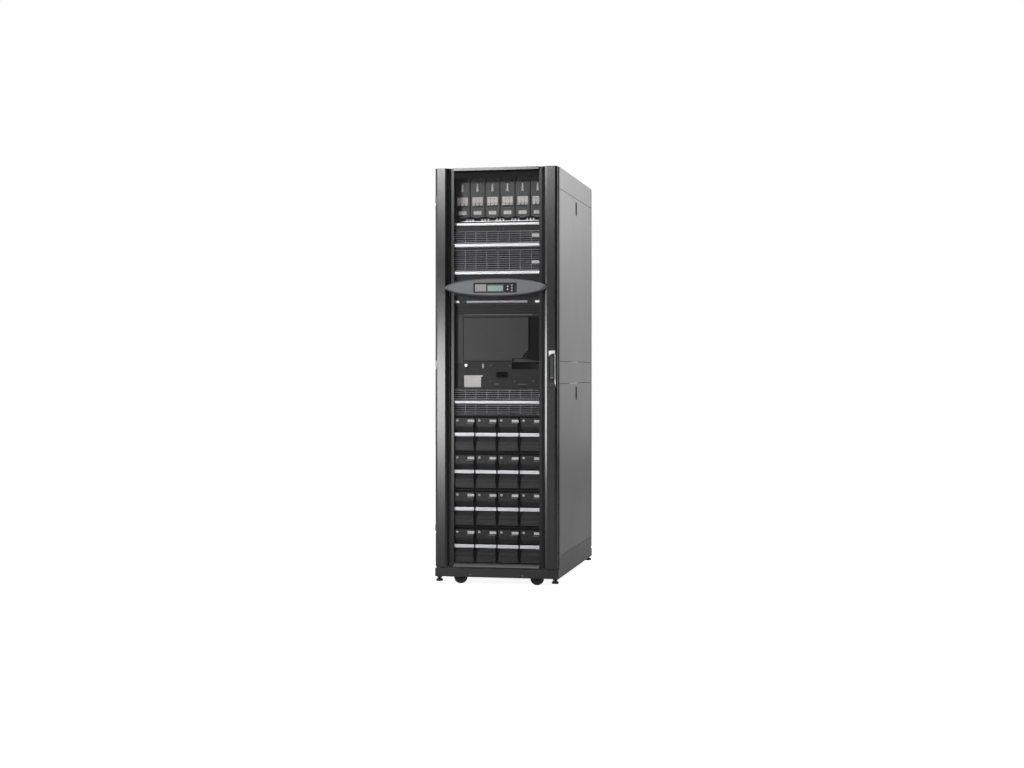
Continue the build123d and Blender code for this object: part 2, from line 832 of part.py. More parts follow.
def handle_base():
    """Moulded base with a recess for the lever, pivot bosses, a plain cap and a lock cylinder."""
    base = block(handle_left, handle_right, handle_face_y, pillar_face_y + handle_depth, handle_bottom,
                 handle_top)
    base = fillet(base.edges().filter_by(Axis.Y), handle_corner)
    recess = block(handle_left + cheek_wall, handle_right - cheek_wall, handle_face_y - overshoot,
                   recess_floor_y, lever_top - lever_length - lever_gap, lever_top + lever_gap)
    base = base - recess
    for low, high in ((handle_left + cheek_wall - boss_root, handle_left + cheek_wall + boss_wall),
                      (handle_right - cheek_wall - boss_wall, handle_right - cheek_wall + boss_root)):
        base = base + block(low, high, handle_face_y - boss_relief, recess_floor_y + overshoot,
                            lever_pin_z - boss_half_height, lever_pin_z + boss_half_height)
    lock = fore_cylinder(lever_x, handle_face_y - lock_relief, handle_face_y + overshoot,
                         handle_bottom + lock_lift, lock_radius)
    pin_bore = cross_cylinder(handle_left + lever_pin_end, handle_right - lever_pin_end, lever_pin_y,
                              lever_pin_z, lever_pin_radius + pin_clearance)
    return base + lock - pin_bore


def lever():
    """Handle lever with a rounded top on its pivot pin and a bevelled toe."""
    half = lever_width / 2
    low = lever_top - lever_length
    outline = ((lever_back_y, low), (lever_front_y + lever_toe / 3, low), (lever_front_y, low + lever_toe),
               (lever_front_y, lever_pin_z), (lever_back_y, lever_pin_z))
    arm = prism_along_x(outline, lever_x - half, lever_x + half)
    head = cross_cylinder(lever_x - half, lever_x + half, lever_pin_y, lever_pin_z, lever_thickness / 2)
    pin = cross_cylinder(handle_left + lever_pin_end + seat_gap, handle_right - lever_pin_end - seat_gap,
                         lever_pin_y, lever_pin_z, lever_pin_radius)
    return arm + head + pin


# Equipment behind the door

def chassis():
    """Equipment chassis: side walls with front flanges, and a shelf under each group of units."""
    floor_z = first_unit_z - shelf_wall
    top_z = unit_z(rack_units)
    wall = block(chassis_half - frame_wall, chassis_half, module_face_y, equipment_back_y, floor_z, top_z)
    flange = block(chassis_half - frame_wall, flange_half, module_face_y, module_face_y + frame_wall,
                   floor_z, top_z)
    side = wall + flange
    solid = side + mirror(side, Plane.YZ)
    half = chassis_half - frame_wall / 2
    drawer_shelves = [row * battery_units for row in range(battery_rows)]
    for unit in drawer_shelves + [fan_unit, control_unit, lower_power_unit, upper_power_unit, tray_unit]:
        solid = solid + block(-half, half, module_face_y, equipment_back_y, unit_z(unit) - shelf_wall,
                              unit_z(unit))
    ceiling_front = breaker_face_y - breaker_margin
    return solid + block(-half, half, ceiling_front, equipment_back_y, top_z - shelf_wall, top_z)


drawer_pitch = 2 * (module_half - drawer_margin) / battery_columns
drawer_half = (drawer_pitch - drawer_gap) / 2


def drawer_bezel(x, grip_z, end_z):
    """Upper or lower half of a drawer's bezel: set back and narrow at the grip, wide at its end."""
    slope_z = grip_z + (bezel_slope if end_z > grip_z else -bezel_slope)
    side = ((drawer_face_y, grip_z), (drawer_face_y - grip_lip, grip_z), (bezel_front_y, slope_z),
            (bezel_front_y, end_z), (drawer_face_y, end_z))
    waist = drawer_half - bezel_waist_inset
    wide = drawer_half - bezel_wide_inset
    front = ((x - waist, grip_z), (x + waist, grip_z), (x + wide, end_z), (x - wide, end_z))
    return prism_along_x(side, x - drawer_half, x + drawer_half) & prism_along_y(front, bezel_front_y,
                                                                                 drawer_face_y)


def battery_module(x, z):
    """Battery drawer: body with a bezel above and below the grip, narrowed at the waist."""
    top = z + battery_units * rack_unit - shelf_wall - drawer_head_gap
    body = block(x - drawer_half, x + drawer_half, drawer_face_y, equipment_back_y, z, top)
    upper = drawer_bezel(x, z + grip_low + grip_height + grip_gap, top - bezel_top_margin)
    lower = drawer_bezel(x, z + grip_low - grip_gap, z + bezel_bottom_margin)
    return body + upper + lower


def battery_handle(x, z):
    """Pull handle: a bar across the module on two posts."""
    half = drawer_half - handle_inset
    low = z + grip_low
    high = low + grip_height
    bar = block(x - half, x + half, bar_front_y, bar_front_y + bar_thickness, low, high)
    handle = front_rounded(bar, handle_round)
    reach = half - handle_post_inset
    for left in (x - reach, x + reach - handle_post_width):
        handle = handle + block(left, left + handle_post_width, bar_front_y + overshoot, drawer_face_y,
                                low + handle_post_inset, high - handle_post_inset)
    return handle


def power_module(unit_low, unit_high, louvre_spans):
    """Power module with a louvred front; each span is a low and high height over its shelf."""
    z_low = unit_z(unit_low)
    body = block(-module_half, module_half, module_face_y, equipment_back_y, z_low,
                 unit_z(unit_high) - shelf_wall - power_head_gap)
    column_pitch = 2 * (module_half - louvre_margin) / louvre_columns
    slot = Box(column_pitch - louvre_rib, 2 * louvre_depth, louvre_height)
    slots = []
    for low, high in louvre_spans:
        rows = int((high - low) / louvre_pitch)
        for z in spread(rows, louvre_pitch):
            for x in spread(louvre_columns, column_pitch):
                slots.append(Pos(x, module_face_y, z_low + (low + high) / 2 + z) * slot)
    return body - slots


def power_bar(unit, lift, bar_height):
    """Bright bar fixed on the face of a power module, with a rounded front."""
    half = module_half - power_bar_inset
    low = unit_z(unit) + lift
    bar = block(-half, half, bar_front_y, module_face_y, low, low + bar_height)
    return front_rounded(bar, power_bar_round)


control_top = unit_z(control_unit) + control_height
cover_top = control_top + cover_height
vent_face_y = module_face_y + vent_recess
control_face_y = module_face_y + control_recess


def control_panel():
    """Switch panel, lower on its right-hand side."""
    z_low = unit_z(control_unit)
    step_x = module_half * control_step_share
    tall = block(-module_half, step_x, control_face_y, equipment_back_y, z_low, control_top)
    low_top = control_top - control_step_drop
    return tall + block(step_x, module_half, control_face_y, equipment_back_y, z_low, low_top)


def control_switches():
    """Rotary switch on its plate, a latch knob and a quarter-turn catch, on the switch panel."""
    z = unit_z(control_unit) + control_height / 2
    face = control_face_y
    switch_x = module_half * switch_share
    plate = block(switch_x - 2 * switch_plate_half, switch_x + 2 * switch_plate_half,
                  face - switch_plate_wall, face, z - switch_plate_half, z + switch_plate_half)
    knob = fore_cylinder(switch_x, face - switch_plate_wall - switch_knob_reach, face, z, switch_knob_radius)
    grip = block(switch_x - switch_grip_length, switch_x + switch_grip_length,
                 face - switch_plate_wall - 2 * switch_knob_reach, face - switch_plate_wall,
                 z - switch_grip_half, z + switch_grip_half)
    upper_z = control_top - 2 * catch_radius
    latch_x = module_half * latch_knob_share
    latch = block(latch_x - catch_radius / 2, latch_x + catch_radius / 2, face - 2 * catch_reach, face,
                  upper_z - 2 * catch_radius, upper_z + catch_radius)
    catch_x = module_half * catch_share
    catch = fore_cylinder(catch_x, face - catch_reach, face, upper_z, catch_radius)
    return [plate + knob + grip, chamfer(latch.edges().group_by(Axis.Y)[0], switch_plate_wall / 2), catch]


def switch_cover():
    """Tall cover with a raised panel whose lower right corner is cut back in a step."""
    z_low = control_top + seat_gap
    body = block(-module_half, module_half, module_face_y + cover_recess, equipment_back_y, z_low, cover_top)
    left = -module_half + cover_left_margin
    right = module_half - cover_right_margin
    low = z_low + cover_low_margin
    high = cover_top - cover_high_margin
    step = cover_corner / 2
    toe_x = right - cover_toe_width
    outline = ((left, low), (toe_x, low), (toe_x, low + step),
               (right - 2 * step, low + step), (right - 2 * step, low + 2 * step),
               (right, low + 4 * step), (right, high), (left, high))
    raised = prism_along_y(outline, module_face_y, module_face_y + cover_recess)
    return body + chamfer(raised.edges().group_by(Axis.Y)[0], cover_edge)


def vent_panel():
    """Louvred panel above the cover, reaching up behind the display."""
    z_low = cover_top + seat_gap
    body = block(-module_half, module_half, vent_face_y, equipment_back_y, z_low,
                 unit_z(lower_power_unit) - shelf_wall - seat_gap)
    half = module_half - vent_side_margin
    for index in range(vent_slots):
        low = cover_top + vent_first_slot + index * louvre_pitch
        body = body - block(-half, half, vent_face_y - overshoot, vent_face_y + vent_slot_depth, low,
                            low + louvre_height)
    return body


def vent_bars():
    """Three short bright bars in line on the vent panel."""
    edge = module_half - power_bar_inset
    low = cover_top + latch_bar_lift
    spans = ((-edge, -edge + latch_end_left), (-edge + latch_bar_left, latch_bar_right),
             (edge - latch_end_right, edge))
    return [front_rounded(block(left, right, module_face_y, vent_face_y, low, low + latch_bar_height),
                          power_bar_round) for left, right in spans]


def tray_bar():
    """Bright bar on the front edge of the distribution tray."""
    half = module_half - power_bar_inset
    low = unit_z(tray_unit)
    bar = block(-half, half, module_face_y, module_face_y + tray_bar_depth, low, low + tray_bar_height)
    return front_rounded(bar, power_bar_round)


breaker_pitch = (2 * module_half + breaker_gap) / breaker_columns
breaker_half = (breaker_pitch - breaker_gap) / 2
terminal_top = unit_z(tray_unit) + terminal_height
breaker_bottom = terminal_top + breaker_foot_gap
breaker_ceiling = unit_z(rack_units) - shelf_wall - seat_gap
breaker_top = breaker_ceiling - breaker_step
breaker_window_low, breaker_window_high = [breaker_bottom + (breaker_top - breaker_bottom) * share
                                           for share in breaker_window_share]
breaker_latch_low, breaker_latch_high = [breaker_bottom + (breaker_top - breaker_bottom) * share
                                         for share in breaker_latch_share]


def breaker_module(x):
    """Breaker module with a window for its breakers; its upper end is stepped back."""
    body = block(x - breaker_half, x + breaker_half, breaker_face_y, equipment_back_y, breaker_bottom,
                 breaker_top)
    head = block(x - breaker_half, x + breaker_half, breaker_face_y + breaker_step_depth, equipment_back_y,
                 breaker_bottom, breaker_ceiling)
    window_half = breaker_half - breaker_margin
    window = block(x - window_half, x + window_half, breaker_face_y - overshoot,
                   breaker_face_y + breaker_pocket, breaker_window_low, breaker_window_high)
    return body + head - window


def breaker_set(x):
    """Three-pole breaker with its toggles in the module's window, and the module's tapered latch."""
    half = breaker_half - breaker_margin - seat_gap
    face = breaker_face_y + breaker_body_inset
    low = breaker_window_low + breaker_body_inset
    high = breaker_window_high - seat_gap
    breaker = block(x - half, x + half, face, breaker_face_y + breaker_pocket, low, high)
    root = low + toggle_rise
    side = ((face, root), (face - toggle_reach, root - toggle_drop),
            (face - toggle_reach, root - toggle_drop - toggle_tip), (face, root - toggle_drop))
    for offset in spread(3, 2 * half / 3):
        breaker = breaker + prism_along_x(side, x + offset - toggle_half, x + offset + toggle_half)
    taper = ((x - latch_tip_half, breaker_latch_high), (x + latch_tip_half, breaker_latch_high),
             (x + latch_base_half, breaker_latch_low), (x - latch_base_half, breaker_latch_low))
    return [breaker, prism_along_y(taper, breaker_face_y - latch_relief, breaker_face_y)]


def terminal_strip():
    """Terminal base on the distribution tray, with three clips under each gap between modules."""
    strip = block(-module_half, module_half, breaker_face_y, equipment_back_y, unit_z(tray_unit),
                  terminal_top)
    side = ((breaker_face_y, terminal_top), (breaker_face_y + clip_depth, terminal_top),
            (breaker_face_y + 2 * clip_tip, terminal_top + clip_height),
            (breaker_face_y + clip_tip, terminal_top + clip_height))
    for gap_x in spread(breaker_columns - 1, breaker_pitch):
        for offset in spread(3, clip_pitch):
            x = gap_x + offset
            strip = strip + prism_along_x(side, x - clip_half, x + clip_half)
    return strip


# Rear doors

def rear_door():
    """Half-width rear door, right-hand side: a folded tray with a perforated field and two stays."""
    w = panel_wall
    x_low = panel_gap / 2
    z_high = height - rear_door_gap
    y_low = frame_y + door_gap
    door = block(x_low, door_edge, y_low, half_depth, door_bottom, z_high)
    door = door - block(x_low + w, door_edge - w, y_low - overshoot, half_depth - w, door_bottom + w,
                        z_high - w)
    field_width = door_edge - x_low - 2 * rear_margin
    field_height = z_high - door_bottom - 2 * rear_margin
    rows = round(field_height / rear_row_height)
    column_pitch = field_width / rear_columns
    row_pitch = field_height / rows
    window = Box(column_pitch - mesh_bar, 4 * w, row_pitch - mesh_bar)
    door = door - [Pos((x_low + door_edge) / 2 + x, half_depth, (door_bottom + z_high) / 2 + z) * window
                   for z in spread(rows, row_pitch) for x in spread(rear_columns, column_pitch)]
    for z in (hinge_low, hinge_high):
        door = door + block(door_edge - rear_stay_left, door_edge - rear_stay_right, frame_y, half_depth - w,
                            z, z + rear_stay_height)
    return door


def rear_handle():
    """Plain handle plate and lever on the rear right-hand door."""
    right = rear_plate_left + rear_plate_width
    top = handle_top - rear_plate_drop
    bottom = top - rear_plate_height
    front = half_depth + rear_plate_wall
    plate = block(rear_plate_left, right, half_depth, front, bottom, top)
    plate = fillet(plate.edges().filter_by(Axis.Y), handle_corner)
    grip = block(rear_plate_left + rear_grip_inset, right - rear_grip_inset, front,
                 half_depth + rear_grip_relief, bottom + rear_grip_low, top - rear_grip_high)
    return plate + chamfer(grip.edges().group_by(Axis.Y)[-1], rear_grip_edge)


save("base_frame", base_frame())
save("levelling_feet", four_corners(levelling_foot()))

fork = caster_fork()
wheel = caster_wheel()
save("front_right_fork", fork)
save("front_right_wheel", wheel)
save("front_left_fork", mirror(fork, Plane.YZ))
save("front_left_wheel", mirror(wheel, Plane.YZ))
rear_fork = mirror(fork, Plane.XZ)
rear_wheel = mirror(wheel, Plane.XZ)
save("rear_casters", both_sides(rear_fork), both_sides(rear_wheel))

save("front_frame", front_frame())
save("rear_frame", mirror(end_frame(), Plane.XZ))
save("roof_panel", roof_panel())
save("roof_brushes", roof_brush(), mirror(roof_brush(), Plane.XZ))
save("side_middle_rails", both_sides(middle_rail()))

lower_panel_top = middle_rail_bottom - panel_gap
upper_panel_top = height - roof_skirt - panel_gap
lower_panel = side_panel(side_skirt_top + panel_gap, lower_panel_top)
upper_panel = side_panel(middle_rail_top + panel_gap, upper_panel_top)
save("right_lower_panel", lower_panel)
save("right_upper_panel", upper_panel)
save("left_lower_panel", mirror(lower_panel, Plane.YZ))
save("left_upper_panel", mirror(upper_panel, Plane.YZ))
save("side_latches", both_sides(panel_latch(lower_panel_top)), both_sides(panel_latch(upper_panel_top)))
save("rear_right_door", rear_door())
save("rear_left_door", mirror(rear_door(), Plane.YZ))
save("rear_handle", rear_handle())

save("door_left_pillar", left_pillar())
save("door_right_pillar", right_pillar())
save("door_rails", door_rails())
save("door_mesh", door_mesh())
save("display_bezel", display_bezel())
save("display_panel", display_panel())
save("display_screen", screen())
save("display_keys", keys())
save("handle_base", handle_base())
save("handle_lever", lever())

save("equipment_chassis", chassis())
drawer_x = spread(battery_columns, drawer_pitch)
handles = []
for row in range(battery_rows):
    row_z = unit_z(row * battery_units)
    save(f"battery_row_{row + 1}", [battery_module(x, row_z) for x in drawer_x])
    handles.extend(battery_handle(x, row_z) for x in drawer_x)
save("battery_handles", handles)

save("power_module_lower", power_module(lower_power_unit, upper_power_unit,
                                        [(lower_louvres_low, lower_louvres_high)]))
save("power_module_upper", power_module(upper_power_unit, tray_unit,
                                        [(upper_louvres_low, upper_louvres_high)]))
save("power_module_bottom", power_module(fan_unit, control_unit, [(fan_louvres_low, fan_louvres_high),
                                                                  (fan_grille_low, fan_grille_high)]))
save("module_bars", power_bar(lower_power_unit, lower_bar_lift, power_bar_height),
     power_bar(upper_power_unit, upper_bar_lift, power_bar_height),
     power_bar(fan_unit, fan_bar_lift, fan_bar_height), vent_bars(), tray_bar())
save("control_panel", control_panel())
save("control_switches", control_switches())
save("switch_cover", switch_cover())
save("vent_panel", vent_panel())
breaker_x = spread(breaker_columns, breaker_pitch)
save("breaker_modules", [breaker_module(x) for x in breaker_x])
save("breaker_blocks", [part for x in breaker_x for part in breaker_set(x)])
save("terminal_strip", terminal_strip())
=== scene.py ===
import math

import bmesh
import bpy
import numpy as np
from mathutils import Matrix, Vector


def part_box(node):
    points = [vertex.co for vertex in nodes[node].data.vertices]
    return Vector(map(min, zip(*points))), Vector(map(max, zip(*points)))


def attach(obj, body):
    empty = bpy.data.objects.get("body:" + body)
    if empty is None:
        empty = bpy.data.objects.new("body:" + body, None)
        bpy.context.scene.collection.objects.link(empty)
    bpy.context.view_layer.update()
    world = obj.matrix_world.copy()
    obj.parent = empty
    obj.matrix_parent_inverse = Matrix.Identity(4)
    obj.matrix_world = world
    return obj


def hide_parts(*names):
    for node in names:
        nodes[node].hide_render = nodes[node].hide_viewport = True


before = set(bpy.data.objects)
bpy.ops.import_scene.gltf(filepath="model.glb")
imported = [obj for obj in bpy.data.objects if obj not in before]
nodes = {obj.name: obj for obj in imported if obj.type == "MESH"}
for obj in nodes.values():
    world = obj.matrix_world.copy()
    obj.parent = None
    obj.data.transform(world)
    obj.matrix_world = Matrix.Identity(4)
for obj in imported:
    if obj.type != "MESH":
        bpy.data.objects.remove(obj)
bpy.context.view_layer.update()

scene = bpy.context.scene

# Studio camera. It stands level at the height of the cabinet's middle, in front and to the right,
# far enough away that the sides hardly converge.
camera_place = (1.640, -8.206, 1.016)
camera_turn = math.radians(11.50)
camera_focal_px = 1651.0
horizon_row = 372.3
image_width = 1024.0
image_height = 768.0
camera_data = bpy.data.cameras.new("studio_camera")
camera_data.sensor_width = 36.0
camera_data.lens = camera_focal_px / image_width * camera_data.sensor_width
camera_data.shift_y = (horizon_row - image_height / 2) / image_width
camera = bpy.data.objects.new("studio_camera", camera_data)
camera.location = camera_place
camera.rotation_euler = (math.radians(90), 0, camera_turn)
scene.collection.objects.link(camera)
scene.camera = camera
scene.view_settings.view_transform = "Standard"


# Studio floor and surroundings. The floor is a matt white sheet that keeps the cabinet's shadow, and the
# walls are an even pale tent. Both read as white to the camera, and in what glass and metal show.
def linear(hex_colour):
    """Linear RGBA of an sRGB hex colour such as #808080."""
    channels = [int(hex_colour[i:i + 2], 16) / 255 for i in (1, 3, 5)]
    return [c / 12.92 if c <= 0.04045 else ((c + 0.055) / 1.055) ** 2.4 for c in channels] + [1.0]


def add_node(tree, kind, settings):
    """Add a node. Each setting is a property, a socket's value, or a socket to link from."""
    made = tree.nodes.new(kind)
    for name, value in settings.items():
        target = made.inputs.get(name) if isinstance(name, str) else made.inputs[name]
        if target is None:
            setattr(made, name, value)
        elif isinstance(value, bpy.types.NodeSocket):
            tree.links.new(value, target)
        else:
            target.default_value = value
    return made


def calculate(tree, operation, *values):
    """The result of a maths node. Each value is a number or a socket."""
    return add_node(tree, "ShaderNodeMath", {"operation": operation, **dict(enumerate(values))}).outputs[0]


def new_material(name):
    """An empty node material and its output node."""
    material = bpy.data.materials.new(name)
    material.use_nodes = True
    tree = material.node_tree
    tree.nodes.clear()
    return material, tree, add_node(tree, "ShaderNodeOutputMaterial", {})


def mesh_object(name, points, faces):
    """A mesh object from points in metres and faces by index."""
    mesh = bpy.data.meshes.new(name)
    mesh.from_pydata([tuple(p) for p in points], [], [tuple(f) for f in faces])
    mesh.update()
    made = bpy.data.objects.new(name, mesh)
    scene.collection.objects.link(made)
    return made


pure_white = linear("#ffffff")
floor_half = 14.0
floor_glow = 0.9
floor_glow_in_gloss = 0.1
floor_points = [(-floor_half, -floor_half, 0), (floor_half, -floor_half, 0),
                (floor_half, floor_half, 0), (-floor_half, floor_half, 0)]
floor = mesh_object("studio_floor", floor_points, [(0, 1, 2, 3)])
floor_paint, tree, out = new_material("matt_white_studio_floor")
path = add_node(tree, "ShaderNodeLightPath", {}).outputs
direct = calculate(tree, "MAXIMUM", path["Is Camera Ray"], path["Is Transmission Ray"])
in_gloss = calculate(tree, "MULTIPLY", path["Is Glossy Ray"], floor_glow_in_gloss)
strength = calculate(tree, "MULTIPLY_ADD", direct, floor_glow, in_gloss)
matt = add_node(tree, "ShaderNodeBsdfDiffuse", {"Color": linear("#c4c4c4")})
glow = add_node(tree, "ShaderNodeEmission", {"Color": pure_white, "Strength": strength})
lit = add_node(tree, "ShaderNodeAddShader", {0: matt.outputs[0], 1: glow.outputs[0]})
tree.links.new(lit.outputs[0], out.inputs["Surface"])
floor.data.materials.append(floor_paint)

tent_level = 0.42
world = bpy.data.worlds.new("studio_tent")
scene.world = world
world.use_nodes = True
tree = world.node_tree
tree.nodes.clear()
path = add_node(tree, "ShaderNodeLightPath", {}).outputs
direct = calculate(tree, "MAXIMUM", path["Is Camera Ray"], path["Is Glossy Ray"])
seen = calculate(tree, "MAXIMUM", direct, path["Is Transmission Ray"])
tent = add_node(tree, "ShaderNodeBackground", {"Color": pure_white, "Strength": tent_level})
white = add_node(tree, "ShaderNodeBackground", {"Color": pure_white, "Strength": 1.0})
picked = add_node(tree, "ShaderNodeMixShader", {0: seen, 1: tent.outputs[0], 2: white.outputs[0]})
add_node(tree, "ShaderNodeOutputWorld", {"Surface": picked.outputs[0]})


# Studio lamps: soft boxes. The front pair stands where the left-hand door pillar mirrors it and the side pair
# where the inner bevel of the right-hand one does; they give both their light at the top and below the middle.
def soft_box(name, place, aim, size, watts):
    """A rectangular soft box that faces the point it is aimed at."""
    data = bpy.data.lights.new(name, "AREA")
    data.shape = "RECTANGLE"
    data.size, data.size_y = size
    data.energy = watts
    lamp = bpy.data.objects.new(name, data)
    lamp.location = place
    lamp.rotation_euler = (Vector(aim) - Vector(place)).to_track_quat("-Z", "Y").to_euler()
    lamp.visible_camera = False
    scene.collection.objects.link(lamp)


soft_box("left_front_high_box", (-2.1, -8.0, 3.3), (0, 0, 1.6), (1.7, 0.9), 135)
soft_box("left_front_low_box", (-2.5, -8.0, 0.8), (0, 0, 0.9), (1.3, 1.1), 112)
soft_box("left_side_high_box", (-4.9, -2.6, 3.1), (0, -0.5, 1.6), (1.4, 1.0), 62)
soft_box("left_side_low_box", (-4.9, -2.6, 0.85), (0, -0.5, 0.9), (1.4, 1.1), 80)
soft_box("right_side_low_box", (4.6, -3.0, 0.95), (0, -0.5, 0.9), (1.0, 1.0), 40)
soft_box("right_rear_box", (3.4, 5.0, 3.0), (0.3, 0, 1.5), (2.2, 1.8), 72)
soft_box("overhead_box", (0.4, -1.2, 4.6), (0, 0, 0), (3.0, 3.0), 90)


# Dark studio wall. It stands behind the camera and to its right, and the door's dark coves and bevels
# mirror it. Only mirrored light meets it, so it shades nothing.
wall_paint, tree, out = new_material("matt_black_studio_wall")
matt = add_node(tree, "ShaderNodeBsdfDiffuse", {"Color": linear("#101010")})
tree.links.new(matt.outputs[0], out.inputs["Surface"])
wall_height = 4.0
wall_corners = ((-4.5, -10.5), (8.5, -10.5), (11.0, -1.5))
wall_points = [(x, y, z) for z in (0.0, wall_height) for x, y in wall_corners]
dark_wall = mesh_object("studio_dark_wall", wall_points, [(0, 1, 4, 3), (1, 2, 5, 4)])
dark_wall.data.materials.append(wall_paint)
dark_wall.visible_camera = False
dark_wall.visible_diffuse = False
dark_wall.visible_shadow = False


# Welded base and the frames on it: formed steel with black powder paint, a satin black whose fine orange peel
# breaks up the highlights, painted a little lighter along the folds, as wear and as a painted highlight.
def noise(tree, place, scale, detail):
    """The values of a noise texture over a place."""
    settings = {"Vector": place, "Scale": scale, "Detail": detail}
    return add_node(tree, "ShaderNodeTexNoise", settings).outputs["Fac"]


def varied(tree, pattern, value, spread):
    """A value that a pattern moves by the spread either way."""
    settings = {"Value": pattern, "To Min": value - spread, "To Max": value + spread}
    return add_node(tree, "ShaderNodeMapRange", settings).outputs[0]


def raised(tree, pattern, strength, depth):
    """A bump node that a pattern raises by the depth in metres."""
    return add_node(tree, "ShaderNodeBump", {"Height": pattern, "Strength": strength, "Distance": depth})


peel_strength = 0.25
cloud_scale = 3.0
coat_spread = 0.03
fold_lightening_starts = 0.99
fold_lightening_ends = 0.8
fold_lightening_most = 0.6
wear_and_highlight_gain = 2.2


def powder_coat(name, colour, roughness, gloss, peel_mm=2.8, peel_depth=0.0002, fold_radius=0):
    """Black powder paint with orange peel of the given grain; folds are painted lighter, as wear where the
    paint is thinnest and as a painted highlight.
    """
    material, tree, out = new_material(name)
    place = add_node(tree, "ShaderNodeTexCoord", {}).outputs["Object"]
    skin = raised(tree, noise(tree, place, 1000 / peel_mm, 2.0), peel_strength, peel_depth)
    tone = varied(tree, noise(tree, place, cloud_scale, 3.0), roughness, coat_spread)
    black = linear(colour)
    paint = add_node(tree, "ShaderNodeBsdfPrincipled", {
        "Base Color": black, "Roughness": tone, "Specular IOR Level": gloss, "Normal": skin.outputs[0]})
    if fold_radius:
        fold = add_node(tree, "ShaderNodeBevel", {"samples": 4, "Radius": fold_radius})
        flat = add_node(tree, "ShaderNodeNewGeometry", {})
        turn = add_node(tree, "ShaderNodeVectorMath", {"operation": "DOT_PRODUCT", 0: fold.outputs[0],
                                                       1: flat.outputs["Normal"]})
        # Along the folds the colour is mixed towards a lighter black: wear, and a painted highlight on the
        # edges.
        wear_and_highlight = add_node(tree, "ShaderNodeMapRange", {"Value": turn.outputs["Value"], "From Min": fold_lightening_starts,
                                                     "From Max": fold_lightening_ends, "To Max": fold_lightening_most})
        worn_and_lit = [channel * wear_and_highlight_gain for channel in black[:3]] + [1.0]
        shade = add_node(tree, "ShaderNodeMix", {"data_type": "RGBA", 0: wear_and_highlight.outputs[0], 6: black, 7: worn_and_lit})
        tree.links.new(fold.outputs[0], skin.inputs["Normal"])
        tree.links.new(shade.outputs[2], paint.inputs["Base Color"])
    tree.links.new(paint.outputs[0], out.inputs["Surface"])
    return material


def paint_node(name, material):
    """Give one CAD node its material."""
    mesh = nodes[name].data
    mesh.materials.clear()
    mesh.materials.append(material)


def paint_part(name, material, belongs):
    """Give a second material to the faces of a CAD node whose middle passes the test."""
    mesh = nodes[name].data
    mesh.materials.append(material)
    for face in mesh.polygons:
        if belongs(face.center):
            face.material_index = len(mesh.materials) - 1


def dress(piece, body, material):
    """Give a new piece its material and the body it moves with."""
    piece.data.materials.append(material)
    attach(piece, body)
    return piece


def fitting(name, body, material, shapes):
    """A dressed piece from several (points, faces) shapes."""
    points = []
    faces = []
    for shape_points, shape_faces in shapes:
        first = len(points)
        points.extend(shape_points)
        faces.extend([first + index for index in face] for face in shape_faces)
    made = mesh_object(name, points, faces)
    shell = bmesh.new()
    shell.from_mesh(made.data)
    bmesh.ops.recalc_face_normals(shell, faces=shell.faces)
    shell.to_mesh(made.data)
    shell.free()
    return dress(made, body, material)


def lofted(sections):
    """A closed shape through sections that have as many points each."""
    count = len(sections[0])
    points = [point for section in sections for point in section]
    last = len(points) - count
    faces = [list(range(count))[::-1], [last + k for k in range(count)]]
    for start in range(0, last, count):
        faces.extend([start + k, start + (k + 1) % count, start + count + (k + 1) % count, start + count + k]
                     for k in range(count))
    return points, faces


def turned(centre, axis, profile, sides):
    """A closed turned shape: (radius, distance) rings along an axis, Y or Z, from a centre."""
    order = {"Y": (2, 0, 1), "Z": (0, 1, 2)}[axis]
    rings = []
    for radius, distance in profile:
        ring = []
        for step in range(sides):
            angle = 2 * math.pi * (step + 0.5) / sides
            point = [0.0, 0.0, 0.0]
            for target, reach in zip(order, (radius * math.cos(angle), radius * math.sin(angle), distance)):
                point[target] = centre[target] + reach
            ring.append(point)
        rings.append(ring)
    return lofted(rings)


frame_coat = powder_coat("black_powder_coat_frame", "#111112", 0.38, 0.3, 2.4, 0.0004, 0.002)
for name in ("base_frame", "front_frame", "rear_frame"):
    paint_node(name, frame_coat)

base_low, base_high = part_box("base_frame")
screw_x = 0.127
screw_z = base_low.z + 0.011
screw_head = ((0.0045, 0.0), (0.0045, 0.0012), (0.0036, 0.0024), (0.0018, 0.0027), (0.001575, 0.0012))
dark_screw, tree, out = new_material("black_zinc_screws")
metal = add_node(tree, "ShaderNodeBsdfPrincipled", {"Base Color": linear("#5a5a5c"), "Metallic": 1.0,
                                                    "Roughness": 0.38})
tree.links.new(metal.outputs[0], out.inputs["Surface"])
fitting("plinth_screws", "root", dark_screw, [
    turned((side * screw_x, end * base_high.y, screw_z), "Y",
           [(radius, end * reach) for radius, reach in screw_head], 16)
    for side in (-1, 1) for end in (-1, 1)])


# Levelling feet. Each is a turned disc with a rounded edge on a threaded stud, with a hexagon nut under the
# base, all of steel plated with black zinc: a dark satin.
draw_stretch = 30.0
draw_scale = 30.0
metal_spread = 0.05


def satin_metal(name, colour, roughness):
    """Satin metal with a fine draw line along X."""
    material, tree, out = new_material(name)
    place = add_node(tree, "ShaderNodeTexCoord", {}).outputs["Object"]
    stretch = add_node(tree, "ShaderNodeMapping", {"Vector": place,
                                                   "Scale": (1.0, draw_stretch, draw_stretch)})
    tone = varied(tree, noise(tree, stretch.outputs[0], draw_scale, 3.0), roughness, metal_spread)
    metal = add_node(tree, "ShaderNodeBsdfPrincipled", {
        "Base Color": linear(colour), "Metallic": 1.0, "Roughness": tone})
    tree.links.new(metal.outputs[0], out.inputs["Surface"])
    return material


